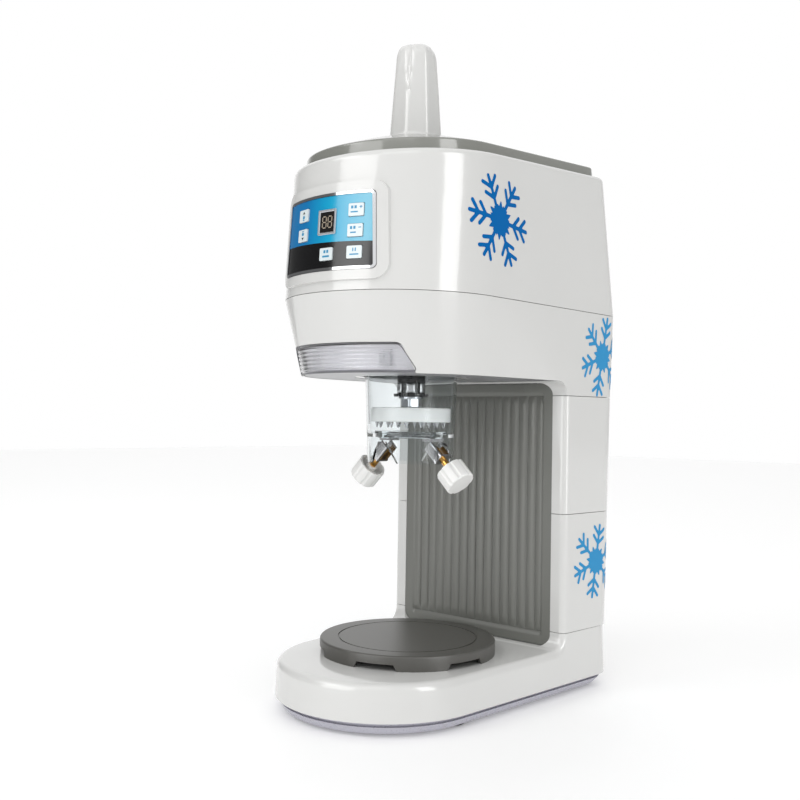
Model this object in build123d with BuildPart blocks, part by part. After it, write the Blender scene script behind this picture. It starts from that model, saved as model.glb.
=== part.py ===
from build123d import *
from math import acos, atan2, cos, degrees, hypot, radians, sin, sqrt
import os

# Countertop shaved ice machine, millimetres. +Z up, the bowl bay opens towards -Y, and the
# origin is under the middle of the footprint, on the counter.

# ---------------------------------------------------------------- driving dimensions
SPINDLE_Y = -32.7
WALL = 3.0
SEAM = 0.5

PLINTH_BOTTOM = 3.0
PLINTH_STEP = 9.0
BASE_BOTTOM = 13.0
BASE_TOP = 44.0
BASE_LEAN = 2.0
BASE_SEAM = 59.0
COLUMN_SEAM = 169.0
HEAD_REAR_SEAM = 279.5
HEAD_UNDER = 293.0
HEAD_SEAM = 359.5
HEAD_TOP = 485.7
TOP_LEAN = 4.2

COLUMN_FRONT = 67.6
BAY_CORNER = 12.0
RIM_ROUND = 7.0
SHOULDER = 6.0

PANEL_HALF = 89.0
PANEL_LOW = 45.0
PANEL_HIGH = 291.0
RIB_PITCH = 10.0
RIB_COUNT = 16

PLATE_R = 80.0
PLATE_BOTTOM = 44.0
PLATE_TOP = 57.0

FEED_TRAVEL = 40.0
SCREW_LEAD = 8.0
HEX_FLATS = 12.0
FRAME_Z = 342.0
FRAME_T = 4.0
PULLEY_Z = 376.5
PULLEY_H = 16.0
DRIVE_R = 42.0
MOTOR_R = 14.0
MOTOR_Y = 112.0
CARRIAGE_Z = 398.0
CARRIAGE_H = 24.0
CROSSHEAD_Z = 468.0
GUIDE_X = 58.0
GUIDE_R = 6.0
SCREW_Y = SPINDLE_Y + 40.0

CUP_TOP = 318.0
CUP_FLOOR = 240.0
CUP_WALL = 2.5
SKIRT_BOTTOM = 216.0
DISC_R = 36.5
DISC_LOW = 252.8
DISC_HIGH = 265.7

KNOB_X = 53.0
KNOB_Z = 205.0
KNOB_R = 13.5
KNOB_TILT = 45.0

PAD_HALF = 57.5
PAD_LOW_HALF = 62.0
PAD_LOW = 368.0
PAD_HIGH = 449.5
PAD_PROUD = 2.0
BEZEL_HALF = 49.5
BEZEL_LOW_HALF = 53.0
BEZEL_LOW = 376.5
BEZEL_HIGH = 441.0
BEZEL_STRIP = 2.3

LENS_TOP = 318.0
LENS_TOP_HALF = 62.5
LENS_LOW_HALF = 71.0

LID_INSET = 10.5
LID_EDGE = 496.5
LID_CROWN = 510.0

BACK_Y = 151.0
INLET_X = -50.0
SWITCH_X = 50.0
INLET_Z = 34.0
COLLAR_R = 52.0

HUB_R = 10.0
MOTOR_SHAFT_R = 5.0
MOTOR_BODY_R = 36.0
BELT_T = 2.5
JOURNAL_R = 6.0
SCREW_R = 5.0
NUT_R = 10.0
NOSE_Z = 276.0
COUPLER_TOP = 300.0
CUP_R = 43.4
CUP_LOW_R = 40.2
SKIRT_R = 39.5
LUG_R = 47.0
LUG_WIDTH = 14.0
TWIST = 30.0
ADJUST_NEAR = 20.0
ADJUST_FAR = 38.0
KNOB_SCREW_R = 3.0
KNOB_LONG = 18.0
NOTCH_START = 20.0
NOTCH_WIDTH = 46.0
NOTCH_HIGH = 5.5
KEY_W = 13.5
KEY_H = 10.5
DISPLAY_AT = (7.4, 417.0)
HANDLE_Z = 510.7
HANDLE_TOP = 600.0
HANDLE_FOOT_R = 24.0
HANDLE_HEAD_R = 17.5

# Plan of the casing at each level: nose radius, nose centre y, half width, back y, corner radius.
PLANS = {
    PLINTH_BOTTOM: (88.0, -63.8, 101.0, 142.0, 20.0),
    PLINTH_STEP: (92.5, -63.8, 106.0, 147.0, 23.0),
    BASE_BOTTOM: (96.4, -63.8, 110.1, 150.8, 25.0),
    BASE_SEAM: (92.5, -63.8, 109.4, 151.8, 25.0),
    COLUMN_SEAM: (92.5, -63.8, 109.6, 154.8, 25.0),
    HEAD_REAR_SEAM: (95.0, -39.5, 109.8, 157.9, 25.0),
    HEAD_UNDER: (95.5, -40.0, 110.0, 158.3, 25.0),
    HEAD_SEAM: (104.5, -49.2, 111.0, 160.3, 25.0),
    HEAD_TOP: (103.5, -42.5, 107.5, 143.5, 25.0),
}


def outline(level, plan, inset=0.0, lean=0.0):
    """Plan outline: round nose, straight flaring sides, rounded back corners; lean lifts its back."""
    nose_r, nose_y, half, back, corner = plan
    nose_r, half, back = nose_r - inset, half - inset, back - inset
    corner = max(corner - inset, 1.0)
    corner_x, corner_y = half - corner, back - corner
    run = hypot(corner_x, corner_y - nose_y)
    side = degrees(atan2(corner_y - nose_y, corner_x) - acos((nose_r - corner) / run))
    tipped = (0, -sin(radians(lean)), cos(radians(lean)))
    ground = Plane(origin=(0, 0, level), x_dir=(1, 0, 0), z_dir=tipped)
    with BuildSketch(ground, mode=Mode.PRIVATE) as plan_sketch:
        with BuildLine():
            nose = CenterArc((0, nose_y), nose_r, 180 - side, 180 + 2 * side)
            right = CenterArc((corner_x, corner_y), corner, side, 90 - side)
            left = CenterArc((-corner_x, corner_y), corner, 90, 90 - side)
            Line(nose @ 1, right @ 0)
            Line(right @ 1, left @ 0)
            Line(left @ 1, nose @ 0)
        make_face()
    return plan_sketch.sketch


def plan_at(level):
    """Casing plan at any level, straight between the two nearest listed levels."""
    levels = sorted(PLANS)
    low = max(z for z in levels if z <= level)
    high = min(z for z in levels if z >= level)
    if low == high:
        return PLANS[low]
    share = (level - low) / (high - low)
    return tuple(a + share * (b - a) for a, b in zip(PLANS[low], PLANS[high]))


def casing(levels, inset=0.0):
    """Closed solid that follows the casing outline through the given levels."""
    with BuildPart(mode=Mode.PRIVATE) as body:
        loft(sections=[outline(z, plan_at(z), inset) for z in levels], ruled=True)
    return body.part


def bay(front, floor, ceiling, corner):
    """The open bowl bay as a solid: everything ahead of the column between two heights."""
    with BuildPart(mode=Mode.PRIVATE) as space:
        with BuildSketch(Plane.YZ) as side:
            with BuildLine():
                Polyline((front, floor), (-300, floor), (-300, ceiling), (front, ceiling), close=True)
            make_face()
            inner = side.vertices().filter_by(lambda v: v.Y > -299)
            fillet(inner, radius=corner)
        extrude(amount=300, both=True)
    return space.part


def panel_window(gap):
    """Rounded rectangle prism along Y at the splash panel."""
    height = PANEL_HIGH - PANEL_LOW
    with BuildPart(mode=Mode.PRIVATE) as window:
        with BuildSketch(Plane.XZ.offset(-55)):
            with Locations((0, (PANEL_LOW + PANEL_HIGH) / 2)):
                RectangleRounded(2 * (PANEL_HALF + gap), height + 2 * gap, 11)
        extrude(amount=-25)
    return window.part


def front_block(half, low, high, round_r, low_half=None):
    """Prism along Y through the head's front, with sloping ends when low_half is given."""
    low_half = half if low_half is None else low_half
    with BuildPart(mode=Mode.PRIVATE) as block:
        with BuildSketch(Plane.XZ.offset(40)) as shape:
            with BuildLine():
                Polyline((-low_half, low), (low_half, low), (half, high), (-half, high), close=True)
            make_face()
            fillet(shape.vertices(), radius=round_r)
        extrude(amount=200)
    return block.part


os.makedirs("parts", exist_ok=True)
NODES = {}


def finish(name, builder):
    """Label a finished piece and write its file."""
    builder.part.label = name
    export_step(builder.part, "parts/" + name + ".step")
    NODES[name] = builder.part


# ---------------------------------------------------------------- base and column
with BuildPart() as bottom_plate:
    add(casing([PLINTH_BOTTOM, PLINTH_STEP]))
    add(casing([PLINTH_STEP, BASE_BOTTOM - SEAM], inset=2.5))
finish("bottom_plate", bottom_plate)

with BuildPart() as rubber_feet:
    with Locations((0, -115), (-72, -60), (72, -60), (-75, 115), (75, 115)):
        Cylinder(12, PLINTH_BOTTOM, align=(Align.CENTER, Align.CENTER, Align.MIN))
finish("rubber_feet", rubber_feet)

with BuildPart() as base_shell:
    add(outline(BASE_BOTTOM, PLANS[BASE_BOTTOM]))
    extrude(amount=BASE_SEAM - SEAM / 2 - BASE_BOTTOM, taper=BASE_LEAN)
    add(bay(COLUMN_FRONT, BASE_TOP, 400, BAY_CORNER), mode=Mode.SUBTRACT)
    raised = base_shell.edges().filter_by(lambda e: e.bounding_box().min.Z > BASE_TOP - 0.1)
    forward = raised.filter_by(lambda e: e.bounding_box().max.Y < COLUMN_FRONT + 0.1)
    fillet(forward.filter_by(lambda e: e.geom_type != GeomType.LINE or abs(e.center().X) > 1), RIM_ROUND)
    with BuildPart(mode=Mode.PRIVATE) as base_hollow:
        add(outline(BASE_BOTTOM, PLANS[BASE_BOTTOM], WALL))
        extrude(amount=BASE_SEAM - BASE_BOTTOM, taper=BASE_LEAN)
        add(bay(COLUMN_FRONT + WALL, BASE_TOP - WALL, 400, BAY_CORNER), mode=Mode.SUBTRACT)
    add(base_hollow.part, mode=Mode.SUBTRACT)
    add(panel_window(0.3), mode=Mode.SUBTRACT)
    with Locations((INLET_X, BACK_Y, INLET_Z)):
        Box(29, 30, 21, mode=Mode.SUBTRACT)
    with Locations((SWITCH_X, BACK_Y, INLET_Z)):
        Box(23, 30, 31, mode=Mode.SUBTRACT)
finish("base_shell", base_shell)


def column_outline(level, inset=0.0):
    """Casing plan cut off flat at the column's front, with rounded front corners."""
    with BuildSketch(Plane.XY.offset(level), mode=Mode.PRIVATE) as plan:
        add(outline(level, plan_at(level), inset))
        with Locations((0, COLUMN_FRONT + inset - 200)):
            Rectangle(400, 400, mode=Mode.SUBTRACT)
        front = plan.vertices().filter_by(lambda v: v.Y < COLUMN_FRONT + inset + 0.1)
        fillet(front, radius=RIM_ROUND - inset)
    return plan.sketch


def column_shell(low, high):
    """Hollow length of column between two seams, windowed for the splash panel."""
    with BuildPart(mode=Mode.PRIVATE) as tube:
        loft(sections=[column_outline(low), column_outline(high)], ruled=True)
        with BuildPart(mode=Mode.PRIVATE) as hollow:
            loft(sections=[column_outline(low, WALL), column_outline(high, WALL)], ruled=True)
        add(hollow.part, mode=Mode.SUBTRACT)
        add(panel_window(0.3), mode=Mode.SUBTRACT)
    return tube.part


with BuildPart() as column_lower_shell:
    add(column_shell(BASE_SEAM + SEAM / 2, COLUMN_SEAM - SEAM / 2))
finish("column_lower_shell", column_lower_shell)

with BuildPart() as column_upper_shell:
    add(column_shell(COLUMN_SEAM + SEAM / 2, HEAD_REAR_SEAM - SEAM / 2))
finish("column_upper_shell", column_upper_shell)

with BuildPart() as splash_panel:
    with BuildSketch(Plane.XZ.offset(-COLUMN_FRONT - 0.4)):
        with Locations((0, (PANEL_LOW + PANEL_HIGH) / 2)):
            RectangleRounded(2 * PANEL_HALF, PANEL_HIGH - PANEL_LOW, 11)
    extrude(amount=-5)
    with BuildSketch(Plane.XZ.offset(-COLUMN_FRONT - 0.4)):
        with Locations((0, (PANEL_LOW + PANEL_HIGH) / 2)):
            RectangleRounded(2 * PANEL_HALF - 20, PANEL_HIGH - PANEL_LOW - 24, 6)
    extrude(amount=-2.5, mode=Mode.SUBTRACT)
    with BuildSketch(Plane.XY.offset(PANEL_LOW + 14)):
        with GridLocations(RIB_PITCH, 1, RIB_COUNT, 1):
            with Locations((0, COLUMN_FRONT + 3.4)):
                Circle(2.4)
    extrude(amount=PANEL_HIGH - PANEL_LOW - 28)
finish("splash_panel", splash_panel)

with BuildPart() as column_frame:
    with Locations((-72, 113, BASE_BOTTOM), (72, 113, BASE_BOTTOM)):
        Box(3, 66, FRAME_Z - BASE_BOTTOM, align=(Align.CENTER, Align.CENTER, Align.MIN))
    with Locations((0, 144.5, BASE_BOTTOM)):
        Box(141, 3, 210, align=(Align.CENTER, Align.CENTER, Align.MIN))
    with Locations((0, 113, BASE_BOTTOM)):
        Box(141, 66, 3, align=(Align.CENTER, Align.CENTER, Align.MIN))
    with Locations((INLET_X, 144.5, INLET_Z), (SWITCH_X, 144.5, INLET_Z)):
        Box(32, 8, 32, mode=Mode.SUBTRACT)
finish("column_frame", column_frame)

# ---------------------------------------------------------------- head casing
UNDER_LEVELS = [HEAD_REAR_SEAM + SEAM / 2, HEAD_UNDER, HEAD_SEAM - SEAM / 2]
with BuildPart() as head_lower_shell:
    with BuildPart(mode=Mode.PRIVATE) as head_lower_hollow:
        add(casing([HEAD_REAR_SEAM, HEAD_UNDER, HEAD_SEAM], WALL))
        add(bay(COLUMN_FRONT + WALL, 200, HEAD_UNDER, BAY_CORNER), mode=Mode.SUBTRACT)
    add(casing(UNDER_LEVELS))
    add(bay(COLUMN_FRONT, 200, HEAD_UNDER, BAY_CORNER), mode=Mode.SUBTRACT)
    add(head_lower_hollow.part, mode=Mode.SUBTRACT)
    add(front_block(LENS_TOP_HALF, HEAD_UNDER - 12, LENS_TOP, 5, LENS_LOW_HALF), mode=Mode.SUBTRACT)
    add(panel_window(0.3), mode=Mode.SUBTRACT)
finish("head_lower_shell", head_lower_shell)

with BuildPart() as light_lens:
    add(casing([HEAD_UNDER + 0.3, LENS_TOP + 6], 0.4))
    add(casing([HEAD_UNDER, LENS_TOP + 8], WALL - 0.4), mode=Mode.SUBTRACT)
    lens_block = front_block(LENS_TOP_HALF - 0.6, HEAD_UNDER - 12, LENS_TOP - 0.5, 5, LENS_LOW_HALF - 0.6)
    add(lens_block, mode=Mode.INTERSECT)
finish("light_lens", light_lens)

with BuildPart() as head_underside_plate:
    add(casing([HEAD_UNDER + 0.3, HEAD_UNDER + 3], WALL + 0.4))
    with Locations((0, COLUMN_FRONT + 200, HEAD_UNDER)):
        Box(400, 400, 20, mode=Mode.SUBTRACT)
    with Locations((0, SPINDLE_Y, HEAD_UNDER)):
        Cylinder(COLLAR_R + 0.3, 20, mode=Mode.SUBTRACT)
finish("head_underside_plate", head_underside_plate)

with BuildPart() as light_board:
    with Locations((0, -113, HEAD_UNDER + 14)):
        Box(92, 3, 14)
    with Locations((0, -115, HEAD_UNDER + 14)):
        with GridLocations(15, 1, 6, 1):
            Box(5, 2, 5)
finish("light_board", light_board)

SHOULDER_STEPS = 5
TOP_PLAN = PLANS[HEAD_TOP]
with BuildPart() as head_upper_shell:
    loft(
        sections=[
            outline(HEAD_SEAM + SEAM / 2, plan_at(HEAD_SEAM + SEAM / 2)),
            outline(HEAD_TOP - SHOULDER, TOP_PLAN, 0, TOP_LEAN),
        ],
        ruled=True,
    )
    quarter = [radians(90 * k / SHOULDER_STEPS) for k in range(SHOULDER_STEPS + 1)]
    rounds = [(HEAD_TOP - SHOULDER + SHOULDER * sin(a), SHOULDER * (1 - cos(a))) for a in quarter]
    for (low, low_in), (high, high_in) in zip(rounds, rounds[1:]):
        loft(
            sections=[outline(z, TOP_PLAN, i, TOP_LEAN) for z, i in ((low, low_in), (high, high_in))],
            ruled=True,
        )
    with BuildPart(mode=Mode.PRIVATE) as pad:
        add(casing([HEAD_SEAM, HEAD_TOP], -PAD_PROUD))
        add(front_block(PAD_HALF, PAD_LOW, PAD_HIGH, 12, PAD_LOW_HALF), mode=Mode.INTERSECT)
    add(pad.part)
    with BuildPart(mode=Mode.PRIVATE) as head_upper_hollow:
        loft(
            sections=[
                outline(HEAD_SEAM, PLANS[HEAD_SEAM], WALL),
                outline(HEAD_TOP - WALL, TOP_PLAN, WALL, TOP_LEAN),
            ],
            ruled=True,
        )
    add(head_upper_hollow.part, mode=Mode.SUBTRACT)
    with BuildPart(mode=Mode.PRIVATE) as lid_opening:
        add(outline(HEAD_TOP - 8, TOP_PLAN, LID_INSET + 3, TOP_LEAN))
        extrude(amount=20)
    add(lid_opening.part, mode=Mode.SUBTRACT)
    bezel_cut = front_block(BEZEL_HALF + 0.3, BEZEL_LOW - 0.3, BEZEL_HIGH + 0.3, 4, BEZEL_LOW_HALF + 0.3)
    add(bezel_cut, mode=Mode.SUBTRACT)
finish("head_upper_shell", head_upper_shell)


def overlay_block(gap):
    """Prism along Y inside the bezel's strip, with a gap all round."""
    inset = BEZEL_STRIP + gap
    return front_block(BEZEL_HALF - inset, BEZEL_LOW + inset, BEZEL_HIGH - inset, 1.5, BEZEL_LOW_HALF - inset)


with BuildPart() as panel_bezel:
    add(casing([HEAD_SEAM, HEAD_TOP], -PAD_PROUD - 0.6))
    add(casing([HEAD_SEAM, HEAD_TOP], WALL), mode=Mode.SUBTRACT)
    add(front_block(BEZEL_HALF, BEZEL_LOW, BEZEL_HIGH, 4, BEZEL_LOW_HALF), mode=Mode.INTERSECT)
    add(overlay_block(0), mode=Mode.SUBTRACT)
finish("panel_bezel", panel_bezel)

with BuildPart() as top_lid:
    lid_rim = outline(LID_EDGE, TOP_PLAN, LID_INSET + 1, TOP_LEAN)
    loft(sections=[outline(HEAD_TOP + 0.3, TOP_PLAN, LID_INSET, TOP_LEAN), lid_rim])
    with BuildPart(mode=Mode.PRIVATE) as crown:
        loft(sections=[lid_rim, outline(LID_CROWN, TOP_PLAN, 75)], ruled=True)
    add(crown.part)
    with BuildPart(mode=Mode.PRIVATE) as lid_hollow:
        inner_rim = outline(LID_EDGE - 2, TOP_PLAN, LID_INSET + 4, TOP_LEAN)
        loft(sections=[outline(HEAD_TOP, TOP_PLAN, LID_INSET + 3, TOP_LEAN), inner_rim])
        loft(sections=[inner_rim, outline(LID_CROWN - 3, TOP_PLAN, 76)], ruled=True)
    add(lid_hollow.part, mode=Mode.SUBTRACT)
    with Locations((0, SPINDLE_Y, LID_CROWN)):
        Cylinder(7, 30, mode=Mode.SUBTRACT)
finish("top_lid", top_lid)

# ---------------------------------------------------------------- feed and drive inside the head
SPINDLE = (0, SPINDLE_Y)
MOTOR = (0, MOTOR_Y)
UP = (Align.CENTER, Align.CENTER, Align.MIN)


def ring(outer, inner, low, high):
    """Plain ring standing on a level of the current part, about the local origin."""
    with BuildPart(mode=Mode.PRIVATE) as tube:
        with BuildSketch(Plane.XY.offset(low)):
            Circle(outer)
            Circle(inner, mode=Mode.SUBTRACT)
        extrude(amount=high - low)
    return tube.part


with BuildPart() as head_frame:
    with BuildSketch(Plane.XY.offset(FRAME_Z)) as frame_plan:
        add(outline(FRAME_Z, plan_at(FRAME_Z), 14))
        with Locations((0, -205)):
            Rectangle(400, 200, mode=Mode.SUBTRACT)
        with Locations(SPINDLE):
            Circle(12, mode=Mode.SUBTRACT)
        with Locations(MOTOR):
            Circle(8, mode=Mode.SUBTRACT)
    extrude(amount=FRAME_T)
finish("head_frame", head_frame)

HOUSING_Z = FRAME_Z + FRAME_T
with BuildPart() as bearing_housing:
    with Locations((*SPINDLE, HOUSING_Z)):
        Cylinder(30, 4, align=UP)
        Cylinder(22, PULLEY_Z - 1 - HOUSING_Z, align=UP)
        Cylinder(17.5, PULLEY_Z, align=UP, mode=Mode.SUBTRACT)
finish("bearing_housing", bearing_housing)

with BuildPart() as spindle_bearings:
    with Locations(SPINDLE):
        for low in (HOUSING_Z + 1, PULLEY_Z - 12):
            add(ring(17.5, HUB_R + 0.05, low, low + 10))
finish("spindle_bearings", spindle_bearings)

with BuildPart() as drive_pulley:
    with Locations((*SPINDLE, HOUSING_Z + 0.5)):
        Cylinder(HUB_R, PULLEY_Z - HOUSING_Z, align=UP)
    with Locations(SPINDLE):
        add(ring(DRIVE_R, 5, PULLEY_Z, PULLEY_Z + PULLEY_H))
        add(ring(DRIVE_R + 4, 5, PULLEY_Z, PULLEY_Z + 2.5))
        add(ring(DRIVE_R + 4, 5, PULLEY_Z + PULLEY_H - 2.5, PULLEY_Z + PULLEY_H))
    with BuildSketch(Plane.XY.offset(HOUSING_Z)):
        with Locations(SPINDLE):
            RegularPolygon(HEX_FLATS / 2 + 0.15, 6, major_radius=False)
    extrude(amount=60, mode=Mode.SUBTRACT)
    with Locations((*SPINDLE, PULLEY_Z - 1)):
        with PolarLocations(27, 6):
            Hole(8, 40)
finish("drive_pulley", drive_pulley)

with BuildPart() as motor_pulley:
    with Locations(MOTOR):
        add(ring(MOTOR_R, MOTOR_SHAFT_R, PULLEY_Z, PULLEY_Z + PULLEY_H))
        add(ring(MOTOR_R + 3, MOTOR_SHAFT_R, PULLEY_Z, PULLEY_Z + 2.5))
        add(ring(MOTOR_R + 3, MOTOR_SHAFT_R, PULLEY_Z + PULLEY_H - 2.5, PULLEY_Z + PULLEY_H))
finish("motor_pulley", motor_pulley)

with BuildPart() as motor_shaft:
    with Locations((*MOTOR, FRAME_Z - 30)):
        Cylinder(MOTOR_SHAFT_R, PULLEY_Z + PULLEY_H + 3 - FRAME_Z + 30, align=UP)
finish("motor_shaft", motor_shaft)

with BuildPart() as main_motor:
    with Locations((*MOTOR, FRAME_Z - 110)):
        Cylinder(MOTOR_BODY_R, 104, align=UP)
    with Locations((*MOTOR, FRAME_Z - 118)):
        Cylinder(14, 8, align=UP)
    with Locations((*MOTOR, FRAME_Z - 31)):
        Cylinder(MOTOR_SHAFT_R + 0.05, 40, align=UP, mode=Mode.SUBTRACT)
finish("main_motor", main_motor)

with BuildPart() as drive_belt:
    for grow, mode in ((BELT_T + 0.3, Mode.ADD), (0.3, Mode.SUBTRACT)):
        with BuildSketch(Plane.XY.offset(PULLEY_Z + 3)):
            with BuildLine():
                for centre, radius in ((SPINDLE, DRIVE_R), (MOTOR, MOTOR_R)):
                    CenterArc(centre, radius + grow, 0, 360)
            make_hull()
        extrude(amount=PULLEY_H - 6, mode=mode)
finish("drive_belt", drive_belt)

with BuildPart() as guide_rods:
    for side in (-1, 1):
        with Locations((side * GUIDE_X, SPINDLE_Y, HOUSING_Z)):
            Cylinder(GUIDE_R, CROSSHEAD_Z + 6 - HOUSING_Z, align=UP)
finish("guide_rods", guide_rods)

with BuildPart() as crosshead:
    with BuildSketch(Plane.XY.offset(CROSSHEAD_Z)):
        with Locations((0, SPINDLE_Y)):
            SlotCenterToCenter(2 * GUIDE_X, 26)
        with Locations((0, SPINDLE_Y + 22)):
            RectangleRounded(44, 66, 6)
        with Locations((-GUIDE_X, SPINDLE_Y), (GUIDE_X, SPINDLE_Y)):
            Circle(GUIDE_R, mode=Mode.SUBTRACT)
        with Locations(SPINDLE):
            Circle(7, mode=Mode.SUBTRACT)
        with Locations((0, SCREW_Y)):
            Circle(SCREW_R + 0.05, mode=Mode.SUBTRACT)
    extrude(amount=6)
finish("crosshead", crosshead)

with BuildPart() as carriage_block:
    with BuildSketch(Plane.XY.offset(CARRIAGE_Z)):
        with Locations((0, SPINDLE_Y)):
            SlotCenterToCenter(2 * GUIDE_X, 30)
        with Locations((0, SPINDLE_Y + 20)):
            RectangleRounded(38, 72, 6)
        with Locations((-GUIDE_X, SPINDLE_Y), (GUIDE_X, SPINDLE_Y)):
            Circle(GUIDE_R + 0.06, mode=Mode.SUBTRACT)
        with Locations((0, SCREW_Y)):
            Circle(NUT_R, mode=Mode.SUBTRACT)
    extrude(amount=CARRIAGE_H)
    with Locations((*SPINDLE, CARRIAGE_Z)):
        Cylinder(14, 12, align=UP, mode=Mode.SUBTRACT)
        Cylinder(12, CARRIAGE_H, align=UP, mode=Mode.SUBTRACT)
finish("carriage_block", carriage_block)

with BuildPart() as carriage_bearing:
    with Locations(SPINDLE):
        add(ring(14, JOURNAL_R + 0.05, CARRIAGE_Z + 2, CARRIAGE_Z + 12))
finish("carriage_bearing", carriage_bearing)

with BuildPart() as lead_nut:
    with Locations((0, SCREW_Y)):
        add(ring(NUT_R, SCREW_R + 0.05, CARRIAGE_Z, CARRIAGE_Z + CARRIAGE_H))
        add(ring(NUT_R + 4, SCREW_R + 0.05, CARRIAGE_Z + CARRIAGE_H, CARRIAGE_Z + CARRIAGE_H + 3))
finish("lead_nut", lead_nut)

with BuildPart() as lead_screw:
    with Locations((0, SCREW_Y, CARRIAGE_Z - 3)):
        Cylinder(SCREW_R, CROSSHEAD_Z + 10 - CARRIAGE_Z + 3, align=UP)
finish("lead_screw", lead_screw)

with BuildPart() as feed_motor:
    with Locations((0, SCREW_Y, CROSSHEAD_Z + 6)):
        Cylinder(16, 22, align=UP)
        Cylinder(SCREW_R + 0.05, 6, align=UP, mode=Mode.SUBTRACT)
finish("feed_motor", feed_motor)

with BuildPart() as handle_rod:
    with Locations((*SPINDLE, CARRIAGE_Z + CARRIAGE_H)):
        Cylinder(18, 4, align=UP)
        Cylinder(6, HANDLE_Z + 60 - CARRIAGE_Z - CARRIAGE_H, align=UP)
finish("handle_rod", handle_rod)

with BuildPart() as lift_handle:
    with BuildSketch(Plane.XY.offset(HANDLE_Z)) as handle_foot:
        with Locations(SPINDLE):
            RegularPolygon(HANDLE_FOOT_R, 8, rotation=22.5, major_radius=False)
    with BuildSketch(Plane.XY.offset(HANDLE_TOP)) as handle_head:
        with Locations(SPINDLE):
            RegularPolygon(HANDLE_HEAD_R, 8, rotation=22.5, major_radius=False)
    loft(sections=[handle_foot.sketch, handle_head.sketch], ruled=True)
    fillet(lift_handle.edges().group_by(Axis.Z)[1:2], radius=5)
    fillet(lift_handle.faces().sort_by(Axis.Z)[-1].edges(), radius=3.5)
    with Locations((*SPINDLE, HANDLE_Z)):
        Cylinder(26.5, 2, align=UP)
        Cylinder(6, 60, align=UP, mode=Mode.SUBTRACT)
finish("lift_handle", lift_handle)

# ---------------------------------------------------------------- spindle
with BuildPart() as spindle_shaft:
    with BuildSketch(Plane.XY.offset(DISC_HIGH)):
        with Locations(SPINDLE):
            RegularPolygon(HEX_FLATS / 2, 6, major_radius=False)
    extrude(amount=CARRIAGE_Z + 1 - DISC_HIGH)
    with Locations((*SPINDLE, CARRIAGE_Z + 1)):
        Cylinder(JOURNAL_R, 17, align=UP)
    with Locations((*SPINDLE, CARRIAGE_Z + 12.5)):
        Cylinder(9, 6, align=UP)
finish("spindle_shaft", spindle_shaft)

with BuildPart() as drive_coupler:
    with Locations(SPINDLE):
        add(ring(13, 7, NOSE_Z, COUPLER_TOP))
        add(ring(16, 7, NOSE_Z, NOSE_Z + 2.5))
    with BuildSketch(Plane.XY.offset(NOSE_Z + 14)):
        with Locations(SPINDLE):
            with PolarLocations(13.3, 16):
                Circle(1.4)
    extrude(amount=COUPLER_TOP - NOSE_Z, mode=Mode.SUBTRACT)
    with BuildSketch(Plane.XY.offset(NOSE_Z)):
        with Locations(SPINDLE):
            RegularPolygon(HEX_FLATS / 2, 6, major_radius=False)
    extrude(amount=40, mode=Mode.SUBTRACT)
finish("drive_coupler", drive_coupler)

with BuildPart() as spindle_nut:
    with BuildSketch(Plane.XY.offset(DISC_HIGH)):
        with Locations(SPINDLE):
            RegularPolygon(11, 6, major_radius=False)
            RegularPolygon(HEX_FLATS / 2, 6, major_radius=False, mode=Mode.SUBTRACT)
    extrude(amount=NOSE_Z - DISC_HIGH)
finish("spindle_nut", spindle_nut)

with BuildPart() as press_disc:
    with Locations((*SPINDLE, DISC_LOW)):
        Cylinder(DISC_R, DISC_HIGH - DISC_LOW, align=UP)
    fillet(press_disc.edges(), radius=1)
finish("press_disc", press_disc)

with BuildPart() as press_spikes:
    for radius, count in ((12, 5), (22, 9), (31, 13)):
        with Locations((*SPINDLE, DISC_LOW)):
            with PolarLocations(radius, count):
                Cone(0.4, 1.9, 5.5, align=(Align.CENTER, Align.CENTER, Align.MAX))
finish("press_spikes", press_spikes)

# ---------------------------------------------------------------- ice cup and blade
LUG_LOW = CUP_TOP - 10
with BuildPart() as cup_collar:
    with Locations(SPINDLE):
        add(ring(COLLAR_R, CUP_R + 0.6, HEAD_UNDER + 0.5, FRAME_Z))
        add(ring(LUG_R + 1.2, CUP_R, LUG_LOW - 0.5, FRAME_Z - 4), mode=Mode.SUBTRACT)
    with BuildSketch(Plane.XY.offset(HEAD_UNDER)) as lug_slots:
        with Locations(SPINDLE):
            with PolarLocations(CUP_R + 1, 3, start_angle=90 + TWIST):
                Rectangle(2 * (LUG_R + 1.2 - CUP_R - 1), LUG_WIDTH + 3)
    extrude(amount=CUP_TOP - HEAD_UNDER, mode=Mode.SUBTRACT)
finish("cup_collar", cup_collar)


def turned(*corners):
    """Solid of revolution about the spindle from a closed radius and height profile."""
    with BuildPart(mode=Mode.PRIVATE) as body:
        with BuildSketch(Plane(origin=(0, SPINDLE_Y, 0), x_dir=(1, 0, 0), z_dir=(0, -1, 0))):
            with BuildLine():
                Polyline(*corners, close=True)
            make_face()
        revolve(axis=Axis((0, SPINDLE_Y, 0), (0, 0, 1)))
    return body.part


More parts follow.
